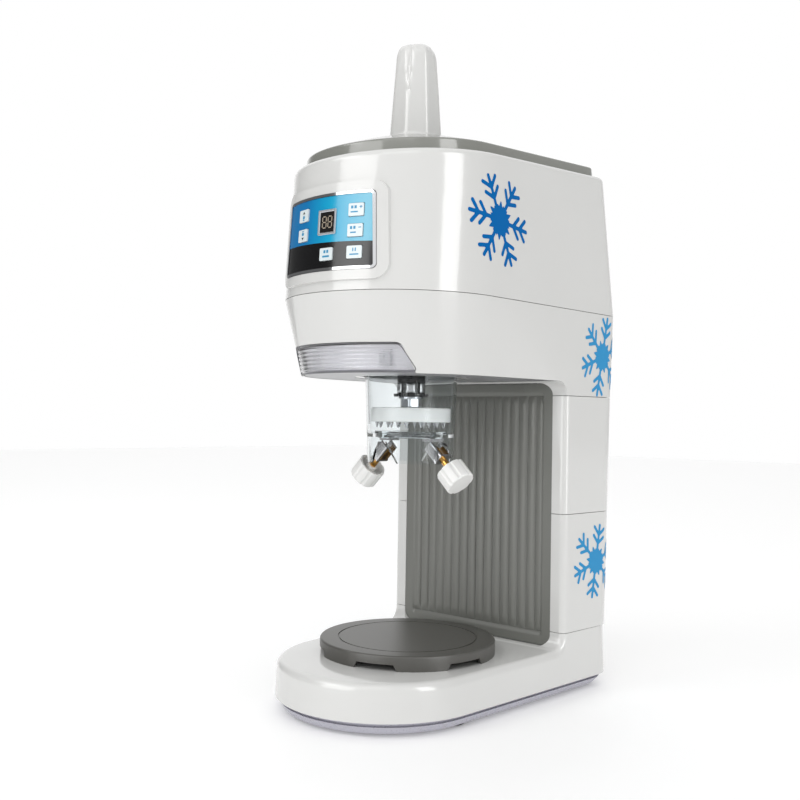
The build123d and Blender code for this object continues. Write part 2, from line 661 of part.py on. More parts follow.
with BuildPart() as ice_cup:
    add(
        turned(
            (CUP_LOW_R - CUP_WALL, CUP_FLOOR + 4),
            (CUP_R - CUP_WALL, CUP_TOP),
            (CUP_R, CUP_TOP),
            (CUP_LOW_R, CUP_FLOOR),
            (SKIRT_R, SKIRT_BOTTOM),
            (SKIRT_R - CUP_WALL, SKIRT_BOTTOM),
            (SKIRT_R - CUP_WALL, CUP_FLOOR - 4),
            (CUP_LOW_R - 3, CUP_FLOOR - 1),
            (30, CUP_FLOOR - 1),
            (30, CUP_FLOOR + 2),
            (CUP_LOW_R - 3, CUP_FLOOR + 2),
        )
    )
    with BuildSketch(Plane.XY.offset(LUG_LOW)):
        with Locations(SPINDLE):
            with PolarLocations(CUP_R, 3, start_angle=90):
                Rectangle(2 * (LUG_R - CUP_R), LUG_WIDTH)
            Circle(CUP_R - 1, mode=Mode.SUBTRACT)
    extrude(amount=6)
    for half, turn in ((26, 0), (26, 180)):
        with BuildSketch(Plane(origin=SPINDLE, x_dir=(1, 0, 0), z_dir=(0, -1, 0)).rotated((0, 0, turn))):
            with Locations((0, SKIRT_BOTTOM)):
                Trapezoid(2 * half, 2 * (CUP_FLOOR - 5 - SKIRT_BOTTOM), 60)
        extrude(amount=60, mode=Mode.SUBTRACT)
    for side in (-1, 1):
        with Locations(Location((side * KNOB_X, SPINDLE_Y, KNOB_Z), (0, -side * KNOB_TILT, 0))):
            Cylinder(10, 64, mode=Mode.SUBTRACT)
finish("ice_cup", ice_cup)

with BuildPart() as blade_holder:
    with Locations(SPINDLE):
        add(ring(29.8, 3, CUP_FLOOR - 2, CUP_FLOOR + 1))
        add(ring(33, 3, CUP_FLOOR + 2, CUP_FLOOR + 4))
        add(ring(29.8, 3, CUP_FLOOR + 1, CUP_FLOOR + 2))
    with Locations((0, SPINDLE_Y, CUP_FLOOR)):
        Box(50, 7, 20, mode=Mode.SUBTRACT)
finish("blade_holder", blade_holder)

with BuildPart() as blade:
    with Locations(Location((0, SPINDLE_Y, CUP_FLOOR + 0.6), (25, 0, 0))):
        Box(48, 6.4, 1.6)
finish("blade", blade)

with BuildPart() as adjuster_brackets:
    for side in (-1, 1):
        frame_at = Plane(Location((side * KNOB_X, SPINDLE_Y, KNOB_Z), (0, side * (180 - KNOB_TILT), 0)))
        with BuildSketch(frame_at.offset(-ADJUST_FAR)):
            RectangleRounded(11, 15, 2)
            Rectangle(11, 11, mode=Mode.SUBTRACT)
        extrude(amount=ADJUST_FAR - ADJUST_NEAR)
        with BuildSketch(frame_at.offset(-ADJUST_NEAR - 2)):
            Rectangle(11, 15)
            Circle(KNOB_SCREW_R + 0.05, mode=Mode.SUBTRACT)
        extrude(amount=2)
        with Locations((side * 26, SPINDLE_Y, CUP_FLOOR - 2)):
            Box(12, 15, 2.5, align=(Align.CENTER, Align.CENTER, Align.MAX))
    for side in (-1, 1):
        with Locations((side * 26, SPINDLE_Y, CUP_FLOOR - 2)):
            Box(30, 30, 30, align=UP, mode=Mode.SUBTRACT)
finish("adjuster_brackets", adjuster_brackets)

for side, place in ((-1, "left"), (1, "right")):
    knob_plane = Plane(Location((side * KNOB_X, SPINDLE_Y, KNOB_Z), (0, side * (180 - KNOB_TILT), 0)))
    with BuildPart() as knob:
        with BuildSketch(knob_plane.offset(-KNOB_LONG / 2)):
            Circle(KNOB_R)
            with PolarLocations(KNOB_R + 2.6, 8):
                Circle(3.4, mode=Mode.SUBTRACT)
        extrude(amount=KNOB_LONG)
        fillet(knob.faces().sort_by(Axis(knob_plane.origin, knob_plane.z_dir))[-1].edges(), radius=1.5)
        with BuildSketch(knob_plane.offset(-KNOB_LONG / 2)):
            Circle(KNOB_R - 2.3)
            Circle(5, mode=Mode.SUBTRACT)
        extrude(amount=KNOB_LONG - 4, mode=Mode.SUBTRACT)
        with BuildSketch(knob_plane.offset(-KNOB_LONG / 2)):
            Circle(KNOB_SCREW_R)
        extrude(amount=KNOB_LONG - 5, mode=Mode.SUBTRACT)
    finish("adjuster_knob_" + place, knob)
    with BuildPart() as knob_screw:
        with BuildSketch(knob_plane.offset(-ADJUST_FAR + 3)):
            Circle(KNOB_SCREW_R)
        extrude(amount=ADJUST_FAR - 3 + KNOB_LONG / 2 - 5)
    finish("adjuster_screw_" + place, knob_screw)

# ---------------------------------------------------------------- bowl plate
with BuildPart() as bowl_plate:
    with Locations((*SPINDLE, PLATE_BOTTOM)):
        Cylinder(PLATE_R, PLATE_TOP - PLATE_BOTTOM, align=UP)
    fillet(bowl_plate.faces().sort_by(Axis.Z)[-1].edges(), radius=2)
    with Locations((*SPINDLE, PLATE_BOTTOM)):
        Cylinder(PLATE_R - 3, PLATE_TOP - PLATE_BOTTOM - 4, align=UP, mode=Mode.SUBTRACT)
    with BuildSketch(Plane.XY.offset(PLATE_TOP - 0.8)) as grooves:
        with Locations(SPINDLE):
            for radius in (30, 63):
                Circle(radius + 0.7)
                Circle(radius - 0.7, mode=Mode.SUBTRACT)
    extrude(amount=2, mode=Mode.SUBTRACT)
    for k in range(3):
        turn = radians(NOTCH_START + 60 * k)
        across = (cos(turn), sin(turn), 0)
        along = (sin(turn), -cos(turn), 0)
        with BuildSketch(Plane(origin=(*SPINDLE, PLATE_BOTTOM), x_dir=across, z_dir=along)):
            Trapezoid(NOTCH_WIDTH, 2 * NOTCH_HIGH, 60)
        extrude(amount=100, both=True, mode=Mode.SUBTRACT)
finish("bowl_plate", bowl_plate)

# ---------------------------------------------------------------- control panel
KEYS = {
    "key_up": (-22, 426),
    "key_down": (-22, 409),
    "key_timer": (34.2, 425),
    "key_lamp": (34.2, 408),
    "key_auto": (8.5, 390),
    "key_pause": (34.5, 390),
}
NOSE_DROP = PLANS[HEAD_SEAM][0] - PLANS[HEAD_SEAM][1] - PLANS[HEAD_TOP][0] + PLANS[HEAD_TOP][1]
NOSE_FALL = atan2(NOSE_DROP, HEAD_TOP - HEAD_SEAM)


def face_plane(x, z, depth):
    """Plane on the control panel's face at x and z, sunk by depth, looking outwards."""
    radius, centre_y = plan_at(z)[:2]
    ahead = sqrt(radius**2 - x**2)
    outward = (x / radius, -ahead / radius, sin(NOSE_FALL))
    here = Plane(origin=(x, centre_y - ahead, z), x_dir=(ahead / radius, x / radius, 0), z_dir=outward)
    return here.offset(-depth)


def face_prism(x, z, width, height, low, high):
    """Small block on the panel face, between two heights off its surface."""
    with BuildPart(mode=Mode.PRIVATE) as block:
        with BuildSketch(face_plane(x, z, -low)):
            RectangleRounded(width, height, 1)
        extrude(amount=high - low)
    return block.part


with BuildPart() as panel_overlay:
    add(casing([HEAD_SEAM, HEAD_TOP], -PAD_PROUD))
    add(casing([HEAD_SEAM, HEAD_TOP], -PAD_PROUD + 1.6), mode=Mode.SUBTRACT)
    add(overlay_block(0.2), mode=Mode.INTERSECT)
    for x, z in KEYS.values():
        add(face_prism(x, z, KEY_W + 0.8, KEY_H + 0.8, -3, 6), mode=Mode.SUBTRACT)
    add(face_prism(*DISPLAY_AT, 17.4, 19.4, -3, 6), mode=Mode.SUBTRACT)
finish("panel_overlay", panel_overlay)

for name, (x, z) in KEYS.items():
    with BuildPart() as key:
        add(face_prism(x, z, KEY_W, KEY_H, PAD_PROUD - 2.0, PAD_PROUD + 0.8))
    finish(name, key)

with BuildPart() as display_window:
    add(face_prism(*DISPLAY_AT, 17, 19, -2.5, PAD_PROUD + 0.2))
finish("display_window", display_window)

with BuildPart() as control_board:
    with Locations((0, -126, (BEZEL_LOW + BEZEL_HIGH) / 2)):
        Box(84, 1.6, 54)
    with Locations((0, -123.5, (BEZEL_LOW + BEZEL_HIGH) / 2)):
        with GridLocations(30, 1, 3, 1):
            Box(14, 4, 12)
finish("control_board", control_board)

# ---------------------------------------------------------------- electrics and fasteners
with BuildPart() as power_board:
    with Locations((0, 141.5, 150)):
        Box(100, 3, 80)
    with Locations((0, 133, 150)):
        with GridLocations(32, 1, 3, 1):
            Cylinder(9, 22)
finish("power_board", power_board)

with BuildPart() as power_inlet:
    with Locations((INLET_X, BACK_Y - 9, INLET_Z)):
        Box(28, 24, 20)
    with Locations((INLET_X, BACK_Y + 1.4, INLET_Z)):
        Box(34, 2, 26)
    with Locations((INLET_X, BACK_Y, INLET_Z)):
        Box(23, 30, 15, mode=Mode.SUBTRACT)
    with Locations((INLET_X, BACK_Y - 20, INLET_Z)):
        Box(28, 4, 20)
    for pin_x, pin_z in ((-6, -2), (6, -2), (0, 3)):
        with Locations((INLET_X + pin_x, BACK_Y - 12, INLET_Z + pin_z)):
            Box(2, 14, 4)
finish("power_inlet", power_inlet)

with BuildPart() as switch_bezel:
    with Locations((SWITCH_X, BACK_Y + 1.4, INLET_Z)):
        Box(27, 2, 35)
    with Locations((SWITCH_X, BACK_Y - 6, INLET_Z)):
        Box(22.4, 14, 30.4)
    with Locations((SWITCH_X, BACK_Y, INLET_Z)):
        Box(19, 16, 27, mode=Mode.SUBTRACT)
finish("switch_bezel", switch_bezel)

with BuildPart() as power_switch:
    with BuildSketch(Plane.YZ.offset(SWITCH_X)):
        with BuildLine():
            Polyline(
                (BACK_Y - 5, INLET_Z - 12.2),
                (BACK_Y + 1, INLET_Z - 12.2),
                (BACK_Y + 3, INLET_Z),
                (BACK_Y + 3.6, INLET_Z + 12.2),
                (BACK_Y - 5, INLET_Z + 12.2),
                close=True,
            )
        make_face()
    extrude(amount=9, both=True)
finish("power_switch", power_switch)

with BuildPart() as frame_screws:
    with Locations(SPINDLE):
        with Locations((0, 0, HOUSING_Z + 4)):
            with PolarLocations(26, 4, start_angle=45):
                Cylinder(3, 3, align=UP)
    for x in (-55, 55):
        for y in (-90, 90):
            with Locations((x, y, HOUSING_Z)):
                Cylinder(4, 3, align=UP)
    for x in (-GUIDE_X, GUIDE_X):
        with Locations((x, SPINDLE_Y, CROSSHEAD_Z + 6)):
            Cylinder(4, 3, align=UP)
    with Locations((-60, 60, BASE_BOTTOM), (60, 60, BASE_BOTTOM)):
        Cylinder(4, 3, align=UP)
finish("frame_screws", frame_screws)
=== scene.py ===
"""Looks of a countertop shaved ice machine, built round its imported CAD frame.

Each sub-assembly is a class that holds its sizes, builds the pieces that the frame
lacks and dresses the nodes that the frame already has. Lengths are in metres.
"""

from __future__ import annotations

import logging
from dataclasses import astuple, dataclass, field
from enum import Enum
from functools import partial
from math import acos, atan2, ceil, cos, hypot, pi, radians, sin, sqrt, tan, tau
from typing import Any, Callable, Iterable, Sequence

import bmesh
import bpy
from mathutils import Matrix, Vector
from mathutils.bvhtree import BVHTree

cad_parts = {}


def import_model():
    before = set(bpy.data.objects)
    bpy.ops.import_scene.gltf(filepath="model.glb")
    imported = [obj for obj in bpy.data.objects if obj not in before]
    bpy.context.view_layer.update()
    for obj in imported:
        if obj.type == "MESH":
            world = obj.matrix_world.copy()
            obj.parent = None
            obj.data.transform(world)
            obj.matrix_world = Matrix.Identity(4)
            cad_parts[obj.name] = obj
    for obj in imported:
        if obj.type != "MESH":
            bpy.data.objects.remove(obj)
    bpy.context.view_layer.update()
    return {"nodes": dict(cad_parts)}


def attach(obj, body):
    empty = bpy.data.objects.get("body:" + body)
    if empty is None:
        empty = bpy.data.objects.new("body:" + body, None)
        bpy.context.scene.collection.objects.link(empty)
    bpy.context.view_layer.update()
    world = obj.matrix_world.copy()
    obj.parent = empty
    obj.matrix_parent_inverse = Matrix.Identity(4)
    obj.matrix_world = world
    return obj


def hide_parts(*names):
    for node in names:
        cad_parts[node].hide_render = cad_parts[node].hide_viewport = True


LOG = logging.getLogger("shaved_ice_machine")
MM = 0.001
# Points of a carried-over node closer than this are one point.
WELD_GAP = 0.002 * MM
# Edges of a carried-over node that turn by more than this many degrees stay sharp.
NODE_SHARP_ANGLE = 32.0
# The outline's straight sides are the only runs longer than this, and each is split into equal parts.
STRAIGHT_SIDE = 0.06
SIDE_PARTS = 14

Flat = tuple[float, float]
Point = tuple[float, float, float]
Mesh = tuple[list[Point], list[Sequence[int]]]


# ------------------------------------------------------------------ colour and nodes
def linear(code: str) -> tuple[float, float, float, float]:
    """Turn an sRGB hex colour into linear light.

    Args:
        code: Colour as "#RRGGBB".

    Returns:
        Linear red, green and blue, with an alpha of one.
    """
    parts = [int(code[i : i + 2], 16) / 255 for i in (1, 3, 5)]
    red, green, blue = (c / 12.92 if c <= 0.04045 else ((c + 0.055) / 1.055) ** 2.4 for c in parts)
    return (red, green, blue, 1.0)


def add_node(
    tree: bpy.types.NodeTree,
    kind: str,
    values: dict[str | int, Any] | None = None,
    links: dict[str | int, bpy.types.NodeSocket] | None = None,
    **settings: Any,
) -> bpy.types.Node:
    """Add one shader node with its settings, input values and incoming links.

    Args:
        tree: Node tree that receives the node.
        kind: Blender's identifier of the node type.
        values: Constants for input sockets, by socket name or index.
        links: Output sockets to join to inputs, by input name or index.
        **settings: Properties of the node itself.

    Returns:
        The new node.
    """
    node = tree.nodes.new(kind)
    for name, value in settings.items():
        setattr(node, name, value)
    for key, value in (values or {}).items():
        node.inputs[key].default_value = value
    for key, socket in (links or {}).items():
        tree.links.new(socket, node.inputs[key])
    return node


class Surface(Enum):
    """How a surface was made, which decides the pattern its finish carries."""

    MOULDED = "moulded"
    SPARKED = "spark eroded"
    BRUSHED = "brushed"
    TURNED = "turned"
    COATED = "powder coated"
    CLEAR = "clear moulded"


@dataclass(frozen=True)
class Finish:
    """One material: what it is, how its surface was made and what that gives the eye."""

    name: str
    colour: str
    surface: Surface
    roughness: float
    slot: str
    ior: float = 1.5
    metallic: float = 0.0
    coat: float = 0.0
    coat_roughness: float = 0.05
    transmission: float = 0.0
    grain_mm: float = 1.2
    bump_mm: float = 0.01
    shade: float = 0.015
    glow: float = 0.0

    def build(self) -> bpy.types.Material:
        """Return this finish's material, made on first use."""
        made = bpy.data.materials.get(self.name)
        if made is not None:
            return made
        made = bpy.data.materials.new(self.name)
        made.use_nodes = True
        tree = made.node_tree
        tree.nodes.clear()
        place = add_node(tree, "ShaderNodeTexCoord")
        bsdf = add_node(
            tree,
            "ShaderNodeBsdfPrincipled",
            values={
                "Metallic": self.metallic,
                "Roughness": self.roughness,
                "Coat Weight": self.coat,
                "Coat Roughness": self.coat_roughness,
                "Transmission Weight": self.transmission,
            },
        )
        if not self.metallic:
            bsdf.inputs["IOR"].default_value = self.ior
        if self.glow:
            bsdf.inputs["Emission Color"].default_value = linear(self.colour)
            bsdf.inputs["Emission Strength"].default_value = self.glow
        tree.links.new(self.base(tree, place), bsdf.inputs["Base Color"])
        height = self.relief(tree, place)
        tree.links.new(self.dull(tree, height), bsdf.inputs["Roughness"])
        bump = add_node(
            tree,
            "ShaderNodeBump",
            values={"Strength": 1.0, "Distance": self.bump_mm * MM},
            links={"Height": height},
        )
        tree.links.new(bump.outputs["Normal"], bsdf.inputs["Normal"])
        add_node(tree, "ShaderNodeOutputMaterial", links={"Surface": bsdf.outputs[0]})
        return made

    def base(self, tree: bpy.types.NodeTree, place: bpy.types.Node) -> bpy.types.NodeSocket:
        """Colour with the faint drift that pigment and handling give.

        Args:
            tree: The material's node tree.
            place: Its texture coordinate node.

        Returns:
            The colour socket.
        """
        drift = add_node(
            tree,
            "ShaderNodeTexNoise",
            values={"Scale": 1 / (60 * MM), "Detail": 3.0, "Roughness": 0.5},
            links={"Vector": place.outputs["Object"]},
        )
        red, green, blue, _ = linear(self.colour)
        low = [c * (1 - self.shade) for c in (red, green, blue)]
        high = [min(1.0, c * (1 + self.shade)) for c in (red, green, blue)]
        mix = add_node(
            tree,
            "ShaderNodeMix",
            values={6: (*low, 1.0), 7: (*high, 1.0)},
            links={0: drift.outputs["Fac"]},
            data_type="RGBA",
        )
        return mix.outputs[2]

    def relief(self, tree: bpy.types.NodeTree, place: bpy.types.Node) -> bpy.types.NodeSocket:
        """Surface pattern at its real size: grain, brushing lines or turning rings.

        Args:
            tree: The material's node tree.
            place: Its texture coordinate node.

        Returns:
            The height socket, from zero to one.
        """
        stretch = {
            Surface.BRUSHED: (1.0, 1.0, 0.04),
            Surface.TURNED: (0.05, 0.05, 1.0),
        }.get(self.surface, (1.0, 1.0, 1.0))
        mapping = add_node(
            tree,
            "ShaderNodeMapping",
            values={"Scale": stretch},
            links={"Vector": place.outputs["Object"]},
        )
        grain = add_node(
            tree,
            "ShaderNodeTexNoise",
            values={"Scale": 1 / (self.grain_mm * MM), "Detail": 4.0, "Roughness": 0.55},
            links={"Vector": mapping.outputs["Vector"]},
        )
        return grain.outputs["Fac"]

    def dull(self, tree: bpy.types.NodeTree, height: bpy.types.NodeSocket) -> bpy.types.NodeSocket:
        """Roughness that follows the pattern by a small share.

        Args:
            tree: The material's node tree.
            height: The pattern's height socket.

        Returns:
            The roughness socket.
        """
        span = add_node(
            tree,
            "ShaderNodeMapRange",
            values={
                "To Min": self.roughness * 0.88,
                "To Max": min(1.0, self.roughness * 1.12),
            },
            links={"Value": height},
        )
        return span.outputs["Result"]


@dataclass(frozen=True)
class PrintedFilm(Finish):
    """Polyester overlay printed behind: one colour above a line, paler towards the right, another below it.
    """

    lower: str = "#0B0B0D"
    middle: str = "#0FA3CC"
    pale: str = "#6FBCD6"
    line_z: float = 0.4004
    line_slope: float = -0.03
    half_width: float = 0.05

    def base(self, tree: bpy.types.NodeTree, place: bpy.types.Node) -> bpy.types.NodeSocket:
        """Two printed fields that meet at a nearly level line.

        Args:
            tree: The material's node tree.
            place: Its texture coordinate node.

        Returns:
            The colour socket.
        """
        axes = add_node(tree, "ShaderNodeSeparateXYZ", links={"Vector": place.outputs["Object"]})
        line = add_node(
            tree,
            "ShaderNodeMath",
            values={1: self.line_slope, 2: self.line_z},
            links={0: axes.outputs["X"]},
            operation="MULTIPLY_ADD",
        )
        above = add_node(
            tree,
            "ShaderNodeMath",
            links={0: axes.outputs["Z"], 1: line.outputs[0]},
            operation="GREATER_THAN",
        )
        span = add_node(
            tree,
            "ShaderNodeMapRange",
            values={"From Min": -self.half_width, "From Max": self.half_width},
            links={"Value": axes.outputs["X"]},
        )
        blue = add_node(tree, "ShaderNodeValToRGB", links={"Fac": span.outputs["Result"]})
        stops = blue.color_ramp.elements
        stops[0].position, stops[0].color = 0.30, linear(self.colour)
        stops[1].position, stops[1].color = 0.95, linear(self.pale)
        stops.new(0.62).color = linear(self.middle)
        mix = add_node(
            tree,
            "ShaderNodeMix",
            values={6: linear(self.lower)},
            links={0: above.outputs[0], 7: blue.outputs["Color"]},
            data_type="RGBA",
        )
        return mix.outputs[2]


# Gloss ABS mouldings: a clear highlight over a body colour, with faint orange peel.
WHITE_ABS = Finish(
    "white_abs_moulded_gloss", "#DBDBD9", Surface.MOULDED, 0.16, "white_abs", coat=0.5,
    grain_mm=4, bump_mm=0.006,
)
GREY_ABS = Finish(
    "grey_abs_moulded_gloss", "#858680", Surface.MOULDED, 0.14, "grey_abs", coat=0.5, grain_mm=4,
    bump_mm=0.006,
)
PLINTH_ABS = Finish(
    "cool_grey_abs_moulded", "#B9B8C2", Surface.MOULDED, 0.28, "plinth_abs", grain_mm=2,
)
# Satin ABS from a spark eroded tool: broad soft highlights. The grit is drawn at 0.8 mm so that it shows.
PANEL_GREY = Finish(
    "grey_abs_spark_eroded", "#767772", Surface.SPARKED, 0.32, "panel_grey", grain_mm=0.8,
    bump_mm=0.012,
)
PLATE_GREY = Finish(
    "dark_grey_abs_spark_eroded", "#52514D", Surface.SPARKED, 0.36, "plate_grey", grain_mm=0.8,
    bump_mm=0.02, shade=0.03,
)
# Polycarbonate: bright edges and see-through walls. The IOR is set well below the real 1.58, so that
# the walls throw back less of the white surround and what stands inside stays dark and plain.
CLEAR_PC = Finish(
    "clear_polycarbonate_moulded", "#F4F7F8", Surface.CLEAR, 0.02, "clear_pc", ior=1.16,
    transmission=1.0, grain_mm=6, bump_mm=0.004, shade=0.0,
)
SMOKE_PC = Finish(
    "smoky_polycarbonate_lens", "#F1F1F4", Surface.CLEAR, 0.04, "smoke_lens", ior=1.4,
    transmission=1.0, grain_mm=6, bump_mm=0.004, shade=0.0,
)
# Acetal disc and knobs: a soft waxy white.
ACETAL = Finish(
    "white_acetal_turned", "#F1F1EF", Surface.TURNED, 0.30, "white_acetal", grain_mm=0.5,
)
KNOB_WHITE = Finish(
    "white_abs_knob_moulded", "#F0F0EE", Surface.MOULDED, 0.24, "knob_white", grain_mm=2,
)
# Moulded black parts: nylon with a small sharp highlight, rubber with almost none.
BLACK_NYLON = Finish(
    "black_nylon_moulded", "#08080A", Surface.MOULDED, 0.25, "black_nylon", grain_mm=1,
)
RUBBER = Finish(
    "black_rubber_moulded", "#161617", Surface.SPARKED, 0.7, "rubber", grain_mm=0.8,
    bump_mm=0.03,
)
# Stainless pressings: long brushing lines that pull the highlight out sideways.
STAINLESS = Finish(
    "stainless_steel_brushed", "#B9B9BA", Surface.BRUSHED, 0.26, "steel", metallic=1.0,
    grain_mm=0.35, bump_mm=0.004,
)
# Powder coat: a dull even grey. Turned and machined metals: fine rings that soften the glint.
COATED_STEEL = Finish(
    "grey_powder_coated_steel", "#8B8D90", Surface.COATED, 0.5, "painted_steel", grain_mm=0.9,
    bump_mm=0.03,
)
ALUMINIUM = Finish(
    "aluminium_machined", "#C9CACC", Surface.TURNED, 0.3, "aluminium", metallic=1.0,
    grain_mm=0.4, bump_mm=0.004,
)
BRASS = Finish(
    "brass_turned", "#C99A52", Surface.TURNED, 0.2, "brass", metallic=1.0, grain_mm=0.3,
    bump_mm=0.006,
)
# Chrome plate: it mirrors the room sharply on the trim, darker on the nut and blurred on the satin frame.
CHROME = Finish(
    "chromed_trim", "#DADBDD", Surface.MOULDED, 0.06, "chrome", metallic=1.0, grain_mm=5,
    bump_mm=0.002,
)
DARK_CHROME = Finish(
    "black_chrome_plated_nut", "#77787A", Surface.TURNED, 0.16, "chrome", metallic=1.0,
    grain_mm=0.4, bump_mm=0.004,
)
CHROME_SATIN = Finish(
    "satin_chromed_frame", "#C9CCD0", Surface.MOULDED, 0.18, "chrome", metallic=0.6, grain_mm=5,
    bump_mm=0.002,
)
# Panel parts: pale satin keys, a black filter over dull printed figures, and lacquered circuit boards.
KEY_CAP = Finish("pale_polyester_key", "#DDE6E8", Surface.MOULDED, 0.3, "key_cap", grain_mm=1)
DISPLAY = Finish("dark_display_filter", "#0C0A09", Surface.MOULDED, 0.2, "display", grain_mm=6)
SEGMENT = Finish("display_segment_print", "#9C8F7C", Surface.MOULDED, 0.5, "display")
BOARD = Finish("green_circuit_board", "#1F5A30", Surface.MOULDED, 0.4, "board")
# Vinyl film: flat strong colour. The IOR is set below the real 1.5, so that no white veil lies on the blue.
DECAL_DEEP = Finish(
    "blue_vinyl_film", "#0066AE", Surface.MOULDED, 0.35, "membrane", ior=1.15, grain_mm=3,
)
DECAL_PALE = Finish(
    "pale_blue_vinyl_film", "#3C96CC", Surface.MOULDED, 0.35, "membrane", ior=1.15, grain_mm=3,
)
# Screen-printed ink on the keys: dull and even.
ICON_BLUE = Finish("key_print_blue", "#1C8BB8", Surface.MOULDED, 0.35, "membrane")
ICON_BLACK = Finish("key_print_black", "#111315", Surface.MOULDED, 0.35, "membrane")
# Printed polyester film: blue over black, the blue paler towards the right, under a thin gloss.
MEMBRANE = PrintedFilm(
    "printed_polyester_film", "#0074B2", Surface.MOULDED, 0.16, "membrane", coat=0.1, grain_mm=5,
    bump_mm=0.003,
)
# White reflector: the faint glow stands in for the light that it gathers behind the lens.
TRAY = Finish(
    "white_reflector_moulded", "#F3F3F4", Surface.MOULDED, 0.25, "white_abs", grain_mm=3,
    glow=0.1,
)
# Around the lamp and under the head: satin ABS painted grey for the shade under the head, a dull soft
# gasket and a white lamp board.
UNDERSIDE_PAINTED_SHADE = Finish("underside_abs_painted_shade", "#97979A", Surface.MOULDED, 0.3, "white_abs", grain_mm=3)
GASKET = Finish("grey_tpe_gasket", "#6B6B6F", Surface.MOULDED, 0.4, "rubber", grain_mm=1)
WHITE_BOARD = Finish("white_lamp_board", "#E4E5E6", Surface.MOULDED, 0.4, "board")
# Studio floor: matt, with a faint glow that keeps it as pale as the surround.
FLOOR = Finish("pale_floor", "#F8F8F8", Surface.MOULDED, 0.6, "white_abs", glow=0.16)

NODE_FINISHES: dict[Finish, tuple[str, ...]] = {
    WHITE_ABS: (
        "base_shell column_lower_shell column_upper_shell head_lower_shell head_upper_shell "
        "cup_collar lift_handle"
    ).split(),
    # Painted shade: the underside plate is coloured grey for the shade that falls under the head.
    UNDERSIDE_PAINTED_SHADE: ("head_underside_plate",),
    WHITE_BOARD: ("light_board",),
    GREY_ABS: ("top_lid",),
    PLINTH_ABS: ("bottom_plate",),
    PANEL_GREY: ("splash_panel",),
    PLATE_GREY: ("bowl_plate",),
    CLEAR_PC: ("ice_cup", "blade_holder"),
    SMOKE_PC: ("light_lens",),
    ACETAL: ("press_disc",),
    KNOB_WHITE: ("adjuster_knob_left", "adjuster_knob_right"),
    BLACK_NYLON: ("drive_coupler", "power_inlet", "switch_bezel", "power_switch"),
    RUBBER: ("rubber_feet", "drive_belt"),
    STAINLESS: (
        "spindle_shaft press_spikes blade adjuster_brackets guide_rods handle_rod spindle_bearings "
        "carriage_bearing motor_shaft lead_screw frame_screws"
    ).split(),
    COATED_STEEL: ("column_frame", "head_frame", "main_motor", "feed_motor"),
    ALUMINIUM: ("bearing_housing", "drive_pulley", "motor_pulley", "carriage_block", "crosshead"),
    BRASS: ("lead_nut", "adjuster_screw_left", "adjuster_screw_right"),
    CHROME: ("panel_bezel",),
    DARK_CHROME: ("spindle_nut",),
    KEY_CAP: ("key_up", "key_down", "key_timer", "key_lamp", "key_auto", "key_pause"),
    DISPLAY: ("display_window",),
    MEMBRANE: ("panel_overlay",),
    BOARD: ("control_board", "power_board"),
}


def dress(piece: bpy.types.Object, material: bpy.types.Material) -> None:
    """Give a piece one material.

    Args:
        piece: The object to dress.
        material: The material that covers all of it.
    """
    piece.data.materials.clear()
    piece.data.materials.append(material)


def soften(piece: bpy.types.Object) -> None:
    """Shade a carried-over node smooth, with its sharp edges kept.

    Args:
        piece: The node's object.
    """
    piece.modifiers.new("weld", "WELD").merge_threshold = WELD_GAP
    piece.data.shade_smooth()
    piece.modifiers.new("sharp_edges", "EDGE_SPLIT").split_angle = radians(NODE_SHARP_ANGLE)


def mesh_object(name: str, mesh: Mesh) -> bpy.types.Object:
    """Make an object from vertices and faces.

    Args:
        name: The object's name.
        mesh: Vertices and faces.

    Returns:
        The linked object.
    """
    data = bpy.data.meshes.new(name)
    data.from_pydata(mesh[0], [], [list(f) for f in mesh[1]])
    data.update()
    piece = bpy.data.objects.new(name, data)
    bpy.context.scene.collection.objects.link(piece)
    return piece


# ------------------------------------------------------------------ casing geometry
@dataclass(frozen=True)
class Plan:
    """Plan of the casing at one height: round nose, flaring sides, rounded back corners."""

    nose: float
    nose_y: float
    half: float
    back: float
    corner: float = 0.025

    def loop(self, inset: float = 0.0) -> list[Flat]:
        """Closed outline from the left side round the nose, anticlockwise.

        Args:
            inset: Distance by which the outline is drawn in.

        Returns:
            Points whose count doesn't depend on the inset.
        """
        nose, half, back = self.nose - inset, self.half - inset, self.back - inset
        corner = max(self.corner - inset, 0.002)
        along, across = back - corner - self.nose_y, half - corner
        side = atan2(along, across) - acos((nose - corner) / hypot(across, along))
        points = arc((0, self.nose_y), nose, pi - side, tau + side, 40)
        points += arc((across, back - corner), corner, side, pi / 2, 10)
        points += arc((-across, back - corner), corner, pi / 2, pi - side, 10)
        return filled(points)

    def mixed(self, other: "Plan", share: float) -> "Plan":
        """Plan part of the way from this one to another."""
        pairs = zip(astuple(self), astuple(other))
        return Plan(*(a + share * (b - a) for a, b in pairs))


def arc(centre: Flat, radius: float, start: float, stop: float, count: int) -> list[Flat]:
    """Points along a circular arc.

    Args:
        centre: Centre of the arc.
        radius: Its radius.
        start: First angle in radians.
        stop: Last angle in radians.
        count: Number of steps.

    Returns:
        One point more than there are steps.
    """
    angles = [start + (stop - start) * k / count for k in range(count + 1)]
    return [(centre[0] + radius * cos(a), centre[1] + radius * sin(a)) for a in angles]


def filled(points: list[Flat]) -> list[Flat]:
    """Split the three straight sides of an outline into equal parts.

    Args:
        points: The outline's arcs, end to end.

    Returns:
        The outline with points along its straight sides.
    """
    out: list[Flat] = []
    for here, there in zip(points, points[1:] + points[:1]):
        out.append(here)
        dx, dy = there[0] - here[0], there[1] - here[1]
        parts = SIDE_PARTS if hypot(dx, dy) > STRAIGHT_SIDE else 1
        out += [(here[0] + dx * k / parts, here[1] + dy * k / parts) for k in range(1, parts)]
    return out


